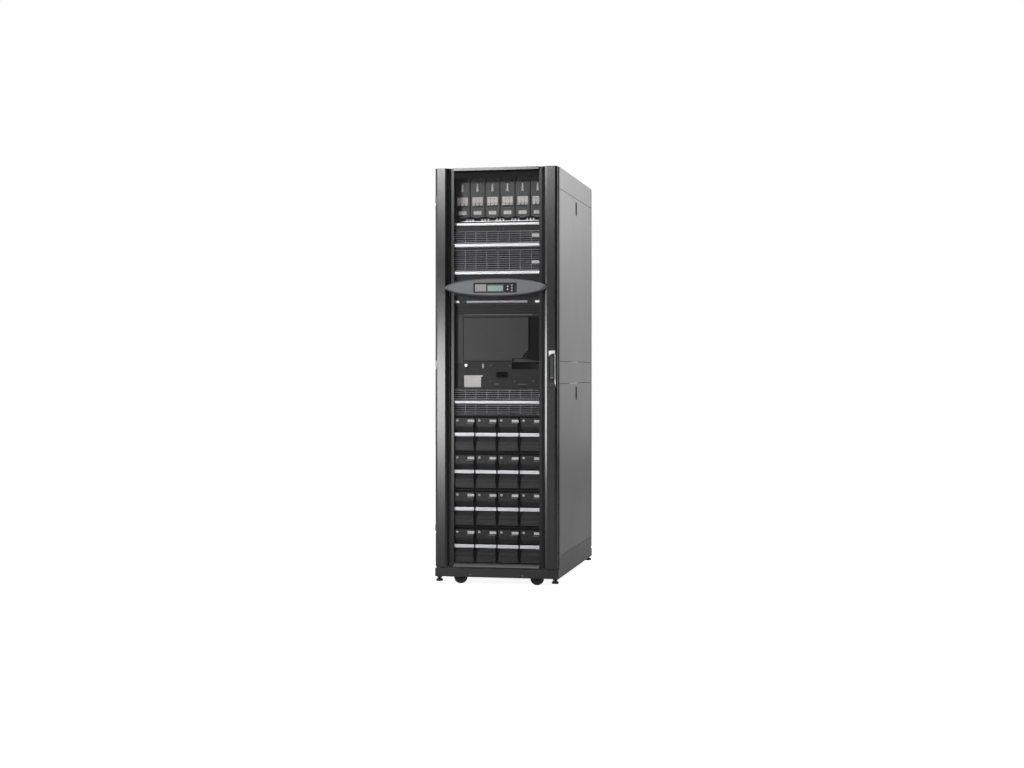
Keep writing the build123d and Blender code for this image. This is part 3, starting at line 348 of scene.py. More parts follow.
zinc = satin_metal("black_zinc_plated_steel", "#2c2c2f", 0.42)
foot_low, foot_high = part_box("levelling_feet")
foot_radius = 0.0165
foot_edge = 0.0015
rim_top = foot_low.z + 0.0085
disc_top = foot_low.z + 0.012
disc_slope = 0.004
stud_radius = 0.006
thread_pitch = 0.00175
thread_depth = 0.0008
nut_radius = 0.012
nut_height = 0.008
nut_chamfer = (0.0015, 0.0012)
foot_profile = [(foot_radius - foot_edge, foot_low.z), (foot_radius, foot_low.z + foot_edge),
                (foot_radius, rim_top), (foot_radius - disc_slope, disc_top), (stud_radius, disc_top)]
for turn in range(int((foot_high.z - disc_top) / thread_pitch)):
    foot_profile.extend([(stud_radius - thread_depth, disc_top + (turn + 0.5) * thread_pitch),
                         (stud_radius, disc_top + (turn + 1) * thread_pitch)])
nut_profile = [(nut_radius - nut_chamfer[0], base_low.z - nut_height),
               (nut_radius, base_low.z - nut_height + nut_chamfer[1]),
               (nut_radius, base_low.z - nut_chamfer[1]), (nut_radius - nut_chamfer[0], base_low.z)]
feet = fitting("turned_levelling_feet", "root", zinc, [
    turned((side * (foot_high.x - foot_radius), end * (foot_high.y - foot_radius), 0), "Z", profile, sides)
    for side in (-1, 1) for end in (-1, 1) for profile, sides in ((foot_profile, 28), (nut_profile, 6))])
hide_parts("levelling_feet")


# Casters. Pressed steel forks, zinc-plated and passivated nearly black, carry wheels of black nylon that
# are moulded with a fine grain; a hexagon nut closes each axle.
fine_grain = 0.00005
coarse_grain = 0.0002
grain_strength = 0.3
grain_spread = 0.04


def moulded_plastic(name, colour, roughness, gloss=0.5, grain_depth=0.0001, grain_mm=1.5):
    """Moulded plastic with the fine grain of a spark-eroded tool."""
    material, tree, out = new_material(name)
    place = add_node(tree, "ShaderNodeTexCoord", {}).outputs["Object"]
    grain = noise(tree, place, 1000 / grain_mm, 4.0)
    resin = add_node(tree, "ShaderNodeBsdfPrincipled", {
        "Base Color": linear(colour), "Roughness": varied(tree, grain, roughness, grain_spread),
        "Specular IOR Level": gloss, "Normal": raised(tree, grain, grain_strength, grain_depth).outputs[0]})
    tree.links.new(resin.outputs[0], out.inputs["Surface"])
    return material


caster_steel = satin_metal("black_passivated_steel", "#1b1b1d", 0.35)
black_nylon = moulded_plastic("black_nylon_wheels", "#070708", 0.45, 0.3, coarse_grain)
for name in ("front_left_fork", "front_right_fork", "rear_casters"):
    paint_node(name, caster_steel)
for name in ("front_left_wheel", "front_right_wheel"):
    paint_node(name, black_nylon)
wheel_low, wheel_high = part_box("front_right_wheel")
wheel_half = (wheel_high.y - wheel_low.y) / 2
caster_y = -(wheel_high.y + wheel_low.y) / 2
axle_x = (wheel_high.x + wheel_low.x) / 2
axle_z = (wheel_high.z + wheel_low.z) / 2
wheel_top = wheel_high.z + 0.001
paint_part("rear_casters", black_nylon,
           lambda middle: middle.z < wheel_top and abs(middle.y - caster_y) < wheel_half + 0.0005)

fork_low, fork_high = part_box("front_right_fork")
nut_seat = (fork_high.y - fork_low.y) / 2 - 0.002
axle_nut = ((0.0065, 0.0), (0.0075, 0.0007), (0.0075, 0.0037), (0.0065, 0.0044), (0.003, 0.0044))
for name, body, y, sides in (("front_left_caster_nuts", "front_left_caster", -caster_y, (-1,)),
                             ("front_right_caster_nuts", "front_right_caster", -caster_y, (1,)),
                             ("rear_caster_nuts", "root", caster_y, (-1, 1))):
    fitting(name, body, caster_steel, [
        turned((side * axle_x, y + end * nut_seat, axle_z), "Y",
               [(radius, end * reach) for radius, reach in axle_nut], 6)
        for side in sides for end in (-1, 1)])


# Roof, side rails and side panels. Folded steel sheet with a slightly finer black powder paint, hooked on
# the frames.
panel_coat = powder_coat("black_powder_coat_panels", "#1d1d1e", 0.36, 0.5, 2.8, 0.0003, 0.0015)
for name in ("roof_panel", "side_middle_rails", "right_lower_panel", "right_upper_panel",
             "left_lower_panel", "left_upper_panel"):
    paint_node(name, panel_coat)


# Brush strips in the roof's cable slots. Each is an aluminium holder painted black with two rows of black
# nylon bristles that meet in the middle, so that cables can pass and dust can't.
def mitred(x_low, x_high, y_low, y_high, loops):
    """A closed row of rectangles, each an (inset, height) of the first, joined corner to corner."""
    points = [(x, y, z) for inset, z in loops for x, y in (
        (x_low + inset, y_low + inset), (x_high - inset, y_low + inset), (x_high - inset, y_high - inset),
        (x_low + inset, y_high - inset))]
    count = len(points)
    faces = [[start + corner, start + (corner + 1) % 4, (start + 4) % count + (corner + 1) % 4,
              (start + 4) % count + corner] for start in range(0, count, 4) for corner in range(4)]
    return points, faces


def ring_bar(x_low, x_high, y_low, y_high, z_low, z_high, band, edge):
    """A flat rectangular ring that faces up, with mitred corners and a chamfer round its upper edges."""
    return mitred(x_low, x_high, y_low, y_high, ((0, z_low), (0, z_high - edge), (edge, z_high),
                                                 (band - edge, z_high), (band, z_high - edge), (band, z_low)))


def spar(start, end, half):
    """A thin four-sided spar between two points, for a bristle or a wire."""
    along = (Vector(end) - Vector(start)).normalized()
    across = along.cross(Vector((0, 0, 1)))
    across = (across.normalized() if across.length > 0.1 else Vector((1, 0, 0))) * half
    up = across.cross(along).normalized() * half
    return lofted([[Vector(place) + offset for offset in (across, up, -across, -up)]
                   for place in (start, end)])


bristle_nylon = moulded_plastic("black_nylon_bristles", "#121213", 0.5, grain_mm=1.0)
brush_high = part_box("roof_brushes")[1]
roof_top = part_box("roof_panel")[1].z
holder_edge = 0.0105
holder_depth = 0.007
holder_band = 0.006
slot_half = 0.0345
end_gap = 0.007
bristle_pitch = 0.0024
bristle_half = 0.0009
bristle_drop = 0.003
bristle_sway = 0.0012
brush_middle = brush_high.y - slot_half - holder_edge
slot_end = brush_high.x - holder_edge
bristles = []
holders = []
for end in (-1, 1):
    middle_y = end * brush_middle
    holders.append(ring_bar(-slot_end, slot_end, middle_y - slot_half, middle_y + slot_half,
                            roof_top - holder_depth, roof_top - 0.0005, holder_band, 0.001))
    for index in range(int(2 * (slot_end - end_gap) / bristle_pitch)):
        x = -slot_end + end_gap + (index + 0.5) * bristle_pitch
        sway = bristle_sway * math.sin(index * 2.4)
        for row in (-1, 1):
            z = roof_top - bristle_drop - bristle_sway / 2 * (1 + math.cos(index * 1.7 + row))
            bristles.append(spar((x, middle_y + row * (slot_half - 0.005), z),
                                 (x + sway, middle_y + row * 0.0008 * math.sin(index), z - 0.0008),
                                 bristle_half))
fitting("brush_holders", "root", panel_coat, holders)
brush_hairs = fitting("brush_hairs", "root", bristle_nylon, bristles)
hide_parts("roof_brushes")


# Slide latches of the side panels. Each is a black nylon cup with a slider in it, and the slider is moulded
# with finger ribs.
def rounded_plate(x_low, x_high, z_low, z_high, y_back, y_front, corner, edge):
    """A plate that faces the front, with rounded corners and a small chamfer round its face."""
    def ring(inset, y):
        radius = max(corner - inset, 0.00005)
        loop = []
        for x, z, start in ((x_high - corner, z_high - corner, 0), (x_low + corner, z_high - corner, 90),
                            (x_low + corner, z_low + corner, 180), (x_high - corner, z_low + corner, 270)):
            for step in range(4):
                angle = math.radians(start + 30 * step)
                loop.append((x + radius * math.cos(angle), y, z + radius * math.sin(angle)))
        return loop
    chamfer = math.copysign(edge, y_back - y_front)
    return lofted([ring(0, y_back), ring(0, y_front + chamfer), ring(edge, y_front)])


def set_plate(x, z, face, sizes_mm):
    """A rounded plate set in a front face at x and z. Its sizes are in millimetres: the steps across and up
    to its middle, width, height, depth behind the face, reach before it, corner radius and chamfer."""
    across, up, width, height, depth, reach, corner, edge = (size / 1000 for size in sizes_mm)
    middle_x = x + across
    middle_z = z + up
    return rounded_plate(middle_x - width / 2, middle_x + width / 2, middle_z - height / 2,
                         middle_z + height / 2, face + depth, face - reach, corner, edge)


def to_side(shape, side):
    """Turn a shape that faces the front so that it faces the right (1) or the left (-1)."""
    points, faces = shape
    return [(-side * y, side * x, z) for x, y, z in points], faces


latch_nylon = moulded_plastic("black_nylon_latches", "#070708", 0.7, 0.12, coarse_grain)
paint_node("side_latches", latch_nylon)
latch_face = 0.0005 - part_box("side_latches")[1].x
latch_drop = 0.016
slider_plate = (0, -20, 22, 24, 9, -4.5, 2, 0.6)
finger_rib = (0, -28.65, 20, 1.7, 5, -3, 0.6, 0.4)
finger_rib_pitch = 0.004
sliders = []
for side in (-1, 1):
    for panel in ("right_lower_panel", "right_upper_panel"):
        latch_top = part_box(panel)[1].z - latch_drop
        sliders.append(to_side(set_plate(0, latch_top, latch_face, slider_plate), side))
        sliders.extend(to_side(set_plate(0, latch_top + rib * finger_rib_pitch, latch_face, finger_rib), side)
                       for rib in range(5))
fitting("latch_sliders", "root", latch_nylon, sliders)


# Front door. Two pillars and two rails of formed sheet frame it; they are painted a little smoother than the
# sides, so that they mirror the soft boxes as long soft bands. Folds that the gun reaches last are duller. The
# back of the top rail and a band of the right-hand pillar's cove are painted a darker matt black as painted
# shade, and the front of the bottom rail is painted a lighter grey.
door_coat = powder_coat("black_powder_coat_door", "#0d0d0e", 0.19, 0.5, 2.8, 0.0001, 0.0012)
for name in ("door_left_pillar", "door_right_pillar", "door_rails"):
    paint_node(name, door_coat)
# A darker matt black laid where shade falls: painted shade.
painted_shade_coat = powder_coat("matt_black_painted_shade_coat", "#0b0b0c", 0.55, 0.12)
lighter_grey_rail_coat = powder_coat("lighter_grey_bottom_rail_coat", "#4c4c4e", 0.45, 0.5)
plinth_ledge_highlight_coat = powder_coat("painted_highlight_plinth_ledge", "#8a8a8c", 0.4, 0.5)
lip_coat = powder_coat("dull_powder_coat_lips", "#0b0b0c", 0.22, 0.26, 2.8, 0.0001)
rail_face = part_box("door_rails")[0].y
door_middle_z = 1.0
rail_fold = 0.001
lighter_band_reach = 0.012
plinth_top = 0.078
ledge_reach = 0.0225
lip_y = -0.5175
lip_half = 0.01025
cove_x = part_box("door_right_pillar")[0].x
cove_band = (cove_x + 0.0095, cove_x + 0.0245)
cove_depth = 0.0095
# The top rail's back faces are painted darker: painted shade.
paint_part("door_rails", painted_shade_coat,
           lambda middle: middle.z > door_middle_z and middle.y > rail_face + rail_fold)
# The front of the bottom rail is painted a lighter grey.
paint_part("door_rails", lighter_grey_rail_coat,
           lambda middle: middle.z < door_middle_z and middle.y < rail_face + lighter_band_reach)
# The plinth's front ledge is painted pale grey: a painted highlight along its top edge.
paint_part("base_frame", plinth_ledge_highlight_coat,
           lambda middle: abs(middle.z - plinth_top) < 0.0005 and middle.y < base_low.y + ledge_reach)
left_lip_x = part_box("door_left_pillar")[1].x
for name, lip_edge in (("door_left_pillar", left_lip_x), ("door_right_pillar", cove_x)):
    paint_part(name, lip_coat,
               lambda middle: abs(middle.y - lip_y) < 0.0003 and abs(middle.x - lip_edge) < lip_half)
# A band of the right-hand pillar's cove is painted darker: painted shade.
paint_part("door_right_pillar", painted_shade_coat, lambda middle: cove_band[0] < middle.x < cove_band[1]
           and lip_y - cove_depth < middle.y < lip_y - 0.0001)


# Perforated sheets of the doors. Steel punched with hexagonal holes on an 8 mm pitch, which leaves thin
# webs that the equipment behind shows through.
def perforated_sheet(name, x_low, x_high, z_low, z_high, y_front, wall, pitch, web, share=(0.0, 1.0)):
    """A sheet in the XZ plane with hexagonal holes and whole outermost cells, or a share of its rows."""
    row_pitch = pitch * math.sqrt(3) / 2
    columns = int((x_high - x_low) / pitch)
    rows = int((z_high - z_low) / row_pitch)
    x_start = (x_low + x_high) / 2 - (columns - 0.5) * pitch / 2
    z_start = (z_low + z_high) / 2 - (rows - 1) * row_pitch / 2
    radius = (pitch - web) / math.sqrt(3)
    corner = np.array([(math.sin(math.radians(60 * k)), math.cos(math.radians(60 * k))) for k in range(6)])
    row, column = np.meshgrid(np.arange(rows), np.arange(columns), indexing="ij")
    centre_x = x_start + (column + 0.5 * (row % 2)) * pitch
    centre_z = z_start + row * row_pitch
    x = centre_x[..., None] + radius * corner[:, 0]
    z = centre_z[..., None] + radius * corner[:, 1]
    front = np.stack([x, np.full_like(x, y_front), z], axis=-1).reshape(-1, 3)
    back = front + np.array([0, wall, 0])
    layer = len(front)

    def corner_index(r, c, k):
        return (r * columns + c) * 6 + k % 6

    sheet_faces = []
    wall_faces = []
    for r in range(round(share[0] * rows), round(share[1] * rows)):
        odd = r % 2
        for c in range(columns):
            rim = r in (0, rows - 1) or c in (0, columns - 1)
            ring = [corner_index(r, c, k) for k in range(6)]
            if rim:
                sheet_faces.append(ring[::-1])
            else:
                wall_faces.extend((ring[k], ring[(k + 1) % 6], ring[(k + 1) % 6] + layer, ring[k] + layer)
                                  for k in range(6))
            east = c + 1 < columns
            up_east = (r + 1, c + odd)
            up_west = (r + 1, c + odd - 1)
            has_up_east = r + 1 < rows and up_east[1] < columns
            has_up_west = r + 1 < rows and up_west[1] >= 0
            if east:
                sheet_faces.append((ring[1], ring[2], corner_index(r, c + 1, 4), corner_index(r, c + 1, 5)))
            if has_up_east:
                sheet_faces.append((ring[0], ring[1], corner_index(*up_east, 3), corner_index(*up_east, 4)))
            if has_up_west:
                sheet_faces.append((ring[5], ring[0], corner_index(*up_west, 2), corner_index(*up_west, 3)))
            if east and has_up_east:
                sheet_faces.append((ring[1], corner_index(r, c + 1, 5), corner_index(*up_east, 3)))
            if has_up_east and has_up_west:
                sheet_faces.append((ring[0], corner_index(*up_east, 4), corner_index(*up_west, 2)))
    back_faces = [[i + layer for i in face][::-1] for face in sheet_faces]
    faces = sheet_faces + back_faces + wall_faces
    used, compact = np.unique(np.concatenate([np.array(face) for face in faces]), return_inverse=True)
    ends = np.cumsum([len(face) for face in faces])[:-1]
    return mesh_object(name, np.vstack([front, back])[used], [list(map(int, face))
                                                              for face in np.split(compact, ends)])


sheet_coat = powder_coat("black_powder_coat_punched_sheet", "#080809", 0.4, 0.18)
mesh_low, mesh_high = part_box("door_mesh")
bezel_low, bezel_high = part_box("display_bezel")
hole_pitch = 0.008
hole_web = 0.0008
bezel_overlap = 0.02
lower_top = bezel_low.z + bezel_overlap
sheet_rows = {"door_sheet_lower": (mesh_low.z, lower_top, (0.0, 0.5)),
              "door_sheet_middle": (mesh_low.z, lower_top, (0.5, 1.0)),
              "door_sheet_upper": (bezel_high.z - bezel_overlap, mesh_high.z, (0.0, 1.0))}
for name, (z_low, z_high, share) in sheet_rows.items():
    sheet = perforated_sheet(name, mesh_low.x, mesh_high.x, z_low, z_high, mesh_low.y,
                             mesh_high.y - mesh_low.y, hole_pitch, hole_web, share)
    dress(sheet, "front_door", sheet_coat)
    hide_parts("door_mesh")


# Rear half doors. Each is a folded tray with the same kind of punched sheet set in it, on two stays at the
# height of its hinges.
rear_border = 0.034
rear_pitch = 0.009
rear_web = 0.0018
rear_fold = 0.002
sheet_wall = 0.0015
sheet_overlap = 0.004
stay_band = (0.016, 0.03)
stay_heights = (0.25, 1.82)
for name, side in (("rear_right_door", 1), ("rear_left_door", -1)):
    low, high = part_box(name)
    skin = high.y - sheet_wall
    points, faces = mitred(low.x, high.x, low.z, high.z, (
        (0, low.y), (0, high.y - rear_fold), (rear_fold, high.y), (rear_border, high.y), (rear_border, skin),
        (sheet_wall + rear_fold, skin), (sheet_wall, skin - rear_fold), (sheet_wall, low.y)))
    hinge_edge = high.x if side > 0 else low.x
    stay_low, stay_high = sorted(hinge_edge - side * reach for reach in stay_band)
    stays = [rounded_plate(stay_low, stay_high, z, z + 0.04, skin, low.y - 0.006, 0.002, 0.0008)
             for z in stay_heights]
    tray = fitting(f"{name}_tray", "root", panel_coat,
                   [([(x, y, z) for x, z, y in points], faces)] + stays)
    inset = rear_border - sheet_overlap
    sheet = perforated_sheet(f"{name}_sheet", low.x + inset, high.x - inset, low.z + inset, high.z - inset,
                             skin, sheet_wall * 0.9, rear_pitch, rear_web)
    dress(sheet, "root", sheet_coat)
    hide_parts(name)
rear_nylon = moulded_plastic("black_nylon_rear_handle", "#131314", 0.4, grain_depth=coarse_grain)
paint_node("rear_handle", rear_nylon)


# Display. A crowned oval bezel of satin grey ABS holds a black panel with a pale legend plate, a green
# character screen in a dark green border, two dark keys with pale domes and a column of three pale keys.
bezel_abs = moulded_plastic("satin_grey_abs_bezel", "#48494c", 0.38)
panel_abs = moulded_plastic("black_satin_panel", "#060607", 0.5, 0.25, fine_grain)
key_abs = moulded_plastic("dark_key_caps", "#151617", 0.4, grain_depth=fine_grain)
pale_abs = moulded_plastic("pale_grey_abs", "#797675", 0.45, grain_depth=fine_grain)
white_abs = moulded_plastic("white_abs_dots", "#d9d9d9", 0.4, grain_depth=fine_grain)
border_abs = moulded_plastic("dark_green_screen_border", "#12241f", 0.35, grain_depth=fine_grain)
paint_node("display_bezel", bezel_abs)
paint_node("display_panel", panel_abs)
paint_node("display_keys", key_abs)
key_low, key_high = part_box("display_keys")
key_split = (key_low.x + key_high.x) / 2
paint_part("display_keys", pale_abs, lambda middle: middle.x > key_split)

# Unlit character cells, four lines of twenty, show as a faint grid of slightly darker blocks.
screen_low, screen_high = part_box("display_screen")
cell_width = (screen_high.x - screen_low.x) / 20
cell_height = (screen_high.z - screen_low.z) / 4
cell_half = 0.38
lcd_glass, tree, out = new_material("green_lcd_glass")
place = add_node(tree, "ShaderNodeTexCoord", {}).outputs["Object"]
apart = add_node(tree, "ShaderNodeSeparateXYZ", {"Vector": place})
cell_parts = []
for axis, start, cell in (("X", screen_low.x, cell_width), ("Z", screen_low.z, cell_height)):
    counted = calculate(tree, "DIVIDE", calculate(tree, "SUBTRACT", apart.outputs[axis], start), cell)
    centred = calculate(tree, "SUBTRACT", calculate(tree, "FRACT", counted), 0.5)
    cell_parts.append(calculate(tree, "LESS_THAN", calculate(tree, "ABSOLUTE", centred), cell_half))
cell_block = calculate(tree, "MULTIPLY", *cell_parts)
cell_tone = add_node(tree, "ShaderNodeMix", {"data_type": "RGBA", 0: cell_block, 6: linear("#768f87"),
                                             7: linear("#6b847c")})
glass = add_node(tree, "ShaderNodeBsdfPrincipled", {"Base Color": cell_tone.outputs[2], "Roughness": 0.2,
                                                    "IOR": 1.5})
tree.links.new(glass.outputs[0], out.inputs["Surface"])
paint_node("display_screen", lcd_glass)


def window_frame(x_low, x_high, z_low, z_high, y_back, y_front, band, edge):
    """A rectangular frame that faces the front, with mitred corners and chamfered edges."""
    points, faces = ring_bar(x_low, x_high, z_low, z_high, 0, y_back - y_front, band, edge)
    return [(x, y_back - depth, z) for x, z, depth in points], faces


def head(x, face, z, profile_mm, sides=20):
    """A turned head on a front face, from its (radius, reach) rings in millimetres."""
    return turned((x, face, z), "Y", [(radius / 1000, -reach / 1000) for radius, reach in profile_mm], sides)


display_low, display_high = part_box("display_panel")
panel_face = display_low.y
plate_back = panel_face + 0.0003
window_band = 0.0055
border = 0.0035
legend_inset = window_band + 0.001
key_dome = ((2.9, 0), (2.7, 0.5), (1.8, 0.9), (0.6, 1))
dome_x = key_low.x + 0.0045
dome_rise = 0.00725
dome_middle = (key_low.z + key_high.z) / 2
status_x = 0.137
status_head = ((4.5, -2), (4.5, 1.2), (3.6, 2), (1.8, 2.4))
fitting("display_surround", "front_door", panel_abs, [window_frame(
    display_low.x, display_high.x, display_low.z, display_high.z, panel_face + 0.0005, panel_face - 0.002,
    window_band, 0.0006)])
fitting("screen_border", "front_door", border_abs, [window_frame(
    screen_low.x - border, screen_high.x + border, screen_low.z - border, screen_high.z + border, plate_back,
    panel_face - 0.0013, border + 0.0008, 0.0004)])
fitting("legend_plate", "front_door", pale_abs, [rounded_plate(
    display_low.x + legend_inset, screen_low.x - border - 0.003, display_low.z + legend_inset,
    display_high.z - legend_inset, plate_back, panel_face - 0.0005, 0.0015, 0.0002)])
fitting("key_domes", "front_door", white_abs, [
    head(dome_x, key_low.y, dome_middle + rise, key_dome) for rise in (-dome_rise, dome_rise)])
fitting("status_lamp", "front_door", pale_abs, [
    head(status_x, bezel_low.y + 0.0045, dome_middle, status_head, 24)])


# Door handle. A moulded black base let into the right-hand pillar, with a pale paddle at its head, a dark
# grey-green lever, a bright metal strip down its right-hand cheek that is a painted highlight where the cheek
# catches the light, and a lock with a keyway at its foot.
handle_black = moulded_plastic("black_glass_filled_nylon", "#0a0a0b", 0.4, 0.3)
lever_grey = moulded_plastic("grey_green_lever_nylon", "#232827", 0.4, 0.3)
paint_node("handle_base", handle_black)
paint_node("handle_lever", lever_grey)
bright_plating_and_highlight = satin_metal("satin_bright_plating_and_painted_highlight", "#b9bbbb", 0.3)
base_corner, base_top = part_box("handle_base")
handle_face = base_corner.y + 0.002
handle_back = handle_face + 0.001
handle_left = base_corner.x
handle_right = base_top.x
paddle_margin = 0.0035
paddle_top = base_top.z - 0.002
paddle_bottom = base_top.z - 0.027
paddle_rise = 0.011
paddle_bow = 0.005
paddle_swell = 0.0016
paddle_steps = 14
paddle_sections = []
for step in range(paddle_steps + 1):
    share = step / paddle_steps
    bow = math.sin(math.pi * share)
    x = handle_left + paddle_margin + share * (handle_right - handle_left - 2 * paddle_margin)
    z = paddle_bottom + paddle_rise * share + paddle_bow * bow
    swell = paddle_swell * bow + paddle_swell / 4
    paddle_sections.append([(x, handle_back, z), (x, handle_face - swell * 0.5, z),
                            (x, handle_face - swell, (z + paddle_top) / 2),
                            (x, handle_face - swell * 0.6, paddle_top), (x, handle_back, paddle_top)])
paddle_abs = moulded_plastic("pale_pink_grey_paddle", "#d2cacb", 0.4, grain_depth=fine_grain)
fitting("handle_paddle", "front_door", paddle_abs, [lofted(paddle_sections)])

# The bright strip down the right-hand cheek is a painted highlight, where the cheek catches the light.
highlight_strip_top = paddle_bottom + 0.008
highlight_strip_bottom = base_corner.z + 0.006
highlight_strip_right = handle_right - 0.0006
highlight_strip_width = 0.004
highlight_strip_taper = 0.0034
taper_starts = 0.7
highlight_strip_steps = 16
highlight_strip_sections = []
for step in range(highlight_strip_steps + 1):
    share = step / highlight_strip_steps
    bend = max(0.0, (share - taper_starts) / (1 - taper_starts))
    x = highlight_strip_right - highlight_strip_width + highlight_strip_taper * bend * bend
    z = highlight_strip_top + share * (highlight_strip_bottom - highlight_strip_top)
    highlight_strip_sections.append([(x, handle_back, z), (x, handle_face - 0.0008, z),
                          ((x + highlight_strip_right) / 2, handle_face - 0.0015, z),
                          (highlight_strip_right, handle_face - 0.0006, z), (highlight_strip_right, handle_back, z)])
fitting("handle_cheek_highlight_strip", "front_door", bright_plating_and_highlight, [lofted(highlight_strip_sections)])

lock_x = (handle_left + handle_right) / 2
lock_z = base_corner.z + 0.014
lock_ring = ((7.2, -1), (7.2, 0.8), (6.4, 1.4), (5.6, 0.8), (5.2, -0.4))
keyway = (0, 0, 1.6, 7.2, 1, 0.4, 0.6, 0.2)
lever_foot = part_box("handle_lever")[0]
lever_pip = ((3.1, -0.6), (3, 0.6), (2, 1.2), (0.7, 1.4))
pip_spread = 0.0042
pip_z = lever_foot.z + 0.011
fitting("lock_cylinder", "front_door", dark_screw,
        [head(lock_x, base_corner.y, lock_z, lock_ring, 28)])
fitting("lock_keyway", "front_door", handle_black,
        [set_plate(lock_x, lock_z, base_corner.y, keyway)])
fitting("lever_pips", "door_handle", pale_abs,
        [head(x, lever_foot.y, pip_z, lever_pip, 18) for x in (lock_x - pip_spread, lock_x + pip_spread)])


# Equipment chassis inside: folded steel with a matt black texture paint. Its shelves' front edges show as
# faint light lines between the units, and folds that turn from the light are painted a darker matt black as
# painted shade.
module_coat = powder_coat("black_texture_coat_modules", "#111112", 0.34, 0.24, 2.0)
cover_coat = powder_coat("dark_grey_cover_coat", "#1c1c1d", 0.32, 0.36, 2.0)
for name in ("equipment_chassis", "power_module_lower", "power_module_upper", "power_module_bottom",
             "control_panel", "vent_panel"):
    paint_node(name, module_coat)
paint_node("switch_cover", cover_coat)
cover_fold_x = 0.1545
recess_x = 0.06
recess_y = -0.47
# The switch cover's right-hand fold and the control panel's recess at the right are painted near black:
# painted shade.
paint_part("switch_cover", painted_shade_coat, lambda middle: middle.x > cover_fold_x)
paint_part("control_panel", painted_shade_coat, lambda middle: middle.x > recess_x and middle.y > recess_y)


# Battery drawers: moulded black ABS fronts on steel boxes, four to a shelf. Each has a blank pale rating label
# with a thin strip under it, a round indicator, and mould ribs across its lower half, which are painted a
# lighter grey as a painted highlight. The boxes' faces behind the fronts are painted near black as painted
# shade, and the sloped faces above and below the handle are painted a lighter black as painted light.
battery_abs = moulded_plastic("black_abs_battery_fronts", "#19191a", 0.33, 0.3)
painted_light_slope_abs = moulded_plastic("painted_light_abs_battery_slopes", "#373738", 0.4)
paper = moulded_plastic("pale_blank_labels", "#f3f1ee", 0.6, 0.5, fine_grain, 0.8)
dim_paper = moulded_plastic("grey_blank_strips", "#82827f", 0.6, 0.5, fine_grain, 0.8)
highlight_rib_abs = moulded_plastic("painted_highlight_abs_ribs", "#4a4a4c", 0.4)
bar_aluminium = satin_metal("satin_anodised_aluminium_bars", "#cdcdd0", 0.42)
darker_aluminium = satin_metal("darker_grey_aluminium_vent_bar_middle", "#8f8f92", 0.45)
paint_node("battery_handles", bar_aluminium)
paint_node("module_bars", bar_aluminium)
vent_bar_z = (1.33, 1.375)
vent_bar_half = 0.16
tray_bar_z = 1.7315
# The middle of the vent bar is painted a darker grey than the other bars.
paint_part("module_bars", darker_aluminium,
           lambda middle: vent_bar_z[0] < middle.z < vent_bar_z[1] and abs(middle.x) < vent_bar_half)
# The tray bar's top fillet is painted black: a painted shadow line above the bar.
paint_part("module_bars", painted_shade_coat, lambda middle: middle.z > tray_bar_z)
battery_label = (34.25, 152, 32.5, 12, 0.2, 0.6, 1, 0.2)
battery_strip = (29, 139.85, 34, 2.7, 0.2, 0.4, 0.5, 0.1)
battery_dot = ((6, -0.4), (5.8, 1.2), (4.2, 2), (1.6, 2.3))
dot_step = 0.0325
dot_rise = 0.154
mould_ribs = [(0, up, 86, 1.4, 0.2, 0.8, 0.6, 0.3) for up in (13.2, 19.2, 25.2, 31.2)]
mould_ribs.append((0, 164.15, 100, 1.3, 0.2, 0.8, 0.5, 0.3))
slope_rise = (0.04, 0.135)
drawer_count = 4
drawer_gap = 0.002
drawer_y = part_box("battery_row_1")[0].y + 0.0225
labels = []
strips = []
dots = []
ribs = []
for row in range(1, 5):
    name = f"battery_row_{row}"
    low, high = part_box(name)
    paint_node(name, battery_abs)
    # The boxes' faces behind the moulded fronts are painted near black: painted shade in the wedges between
    # the drawers.
    paint_part(name, painted_shade_coat, lambda middle: middle.y > drawer_y)
    # The sloped faces above and below the handle are painted a lighter black: painted light where they lie in
    # shade.
    paint_part(name, painted_light_slope_abs, lambda middle: low.y + 0.0008 < middle.y < drawer_y
               and slope_rise[0] < middle.z - low.z < slope_rise[1])
    pitch = (high.x - low.x + drawer_gap) / drawer_count
    for column in range(drawer_count):
        x = low.x + (column + 0.5) * pitch - drawer_gap / 2
        labels.append(set_plate(x, low.z, low.y, battery_label))
        strips.append(set_plate(x, low.z, low.y, battery_strip))
        dots.append(head(x - dot_step, low.y, low.z + dot_rise, battery_dot))
        ribs.extend(set_plate(x, low.z, low.y, rib) for rib in mould_ribs)
fitting("battery_labels", "root", paper, labels)
fitting("battery_strips", "root", dim_paper, strips)
fitting("battery_dots", "root", white_abs, dots)
# The ribs are painted a lighter grey than the black ABS they are moulded in: a painted highlight along them.
fitting("battery_ribs", "root", highlight_rib_abs, ribs)


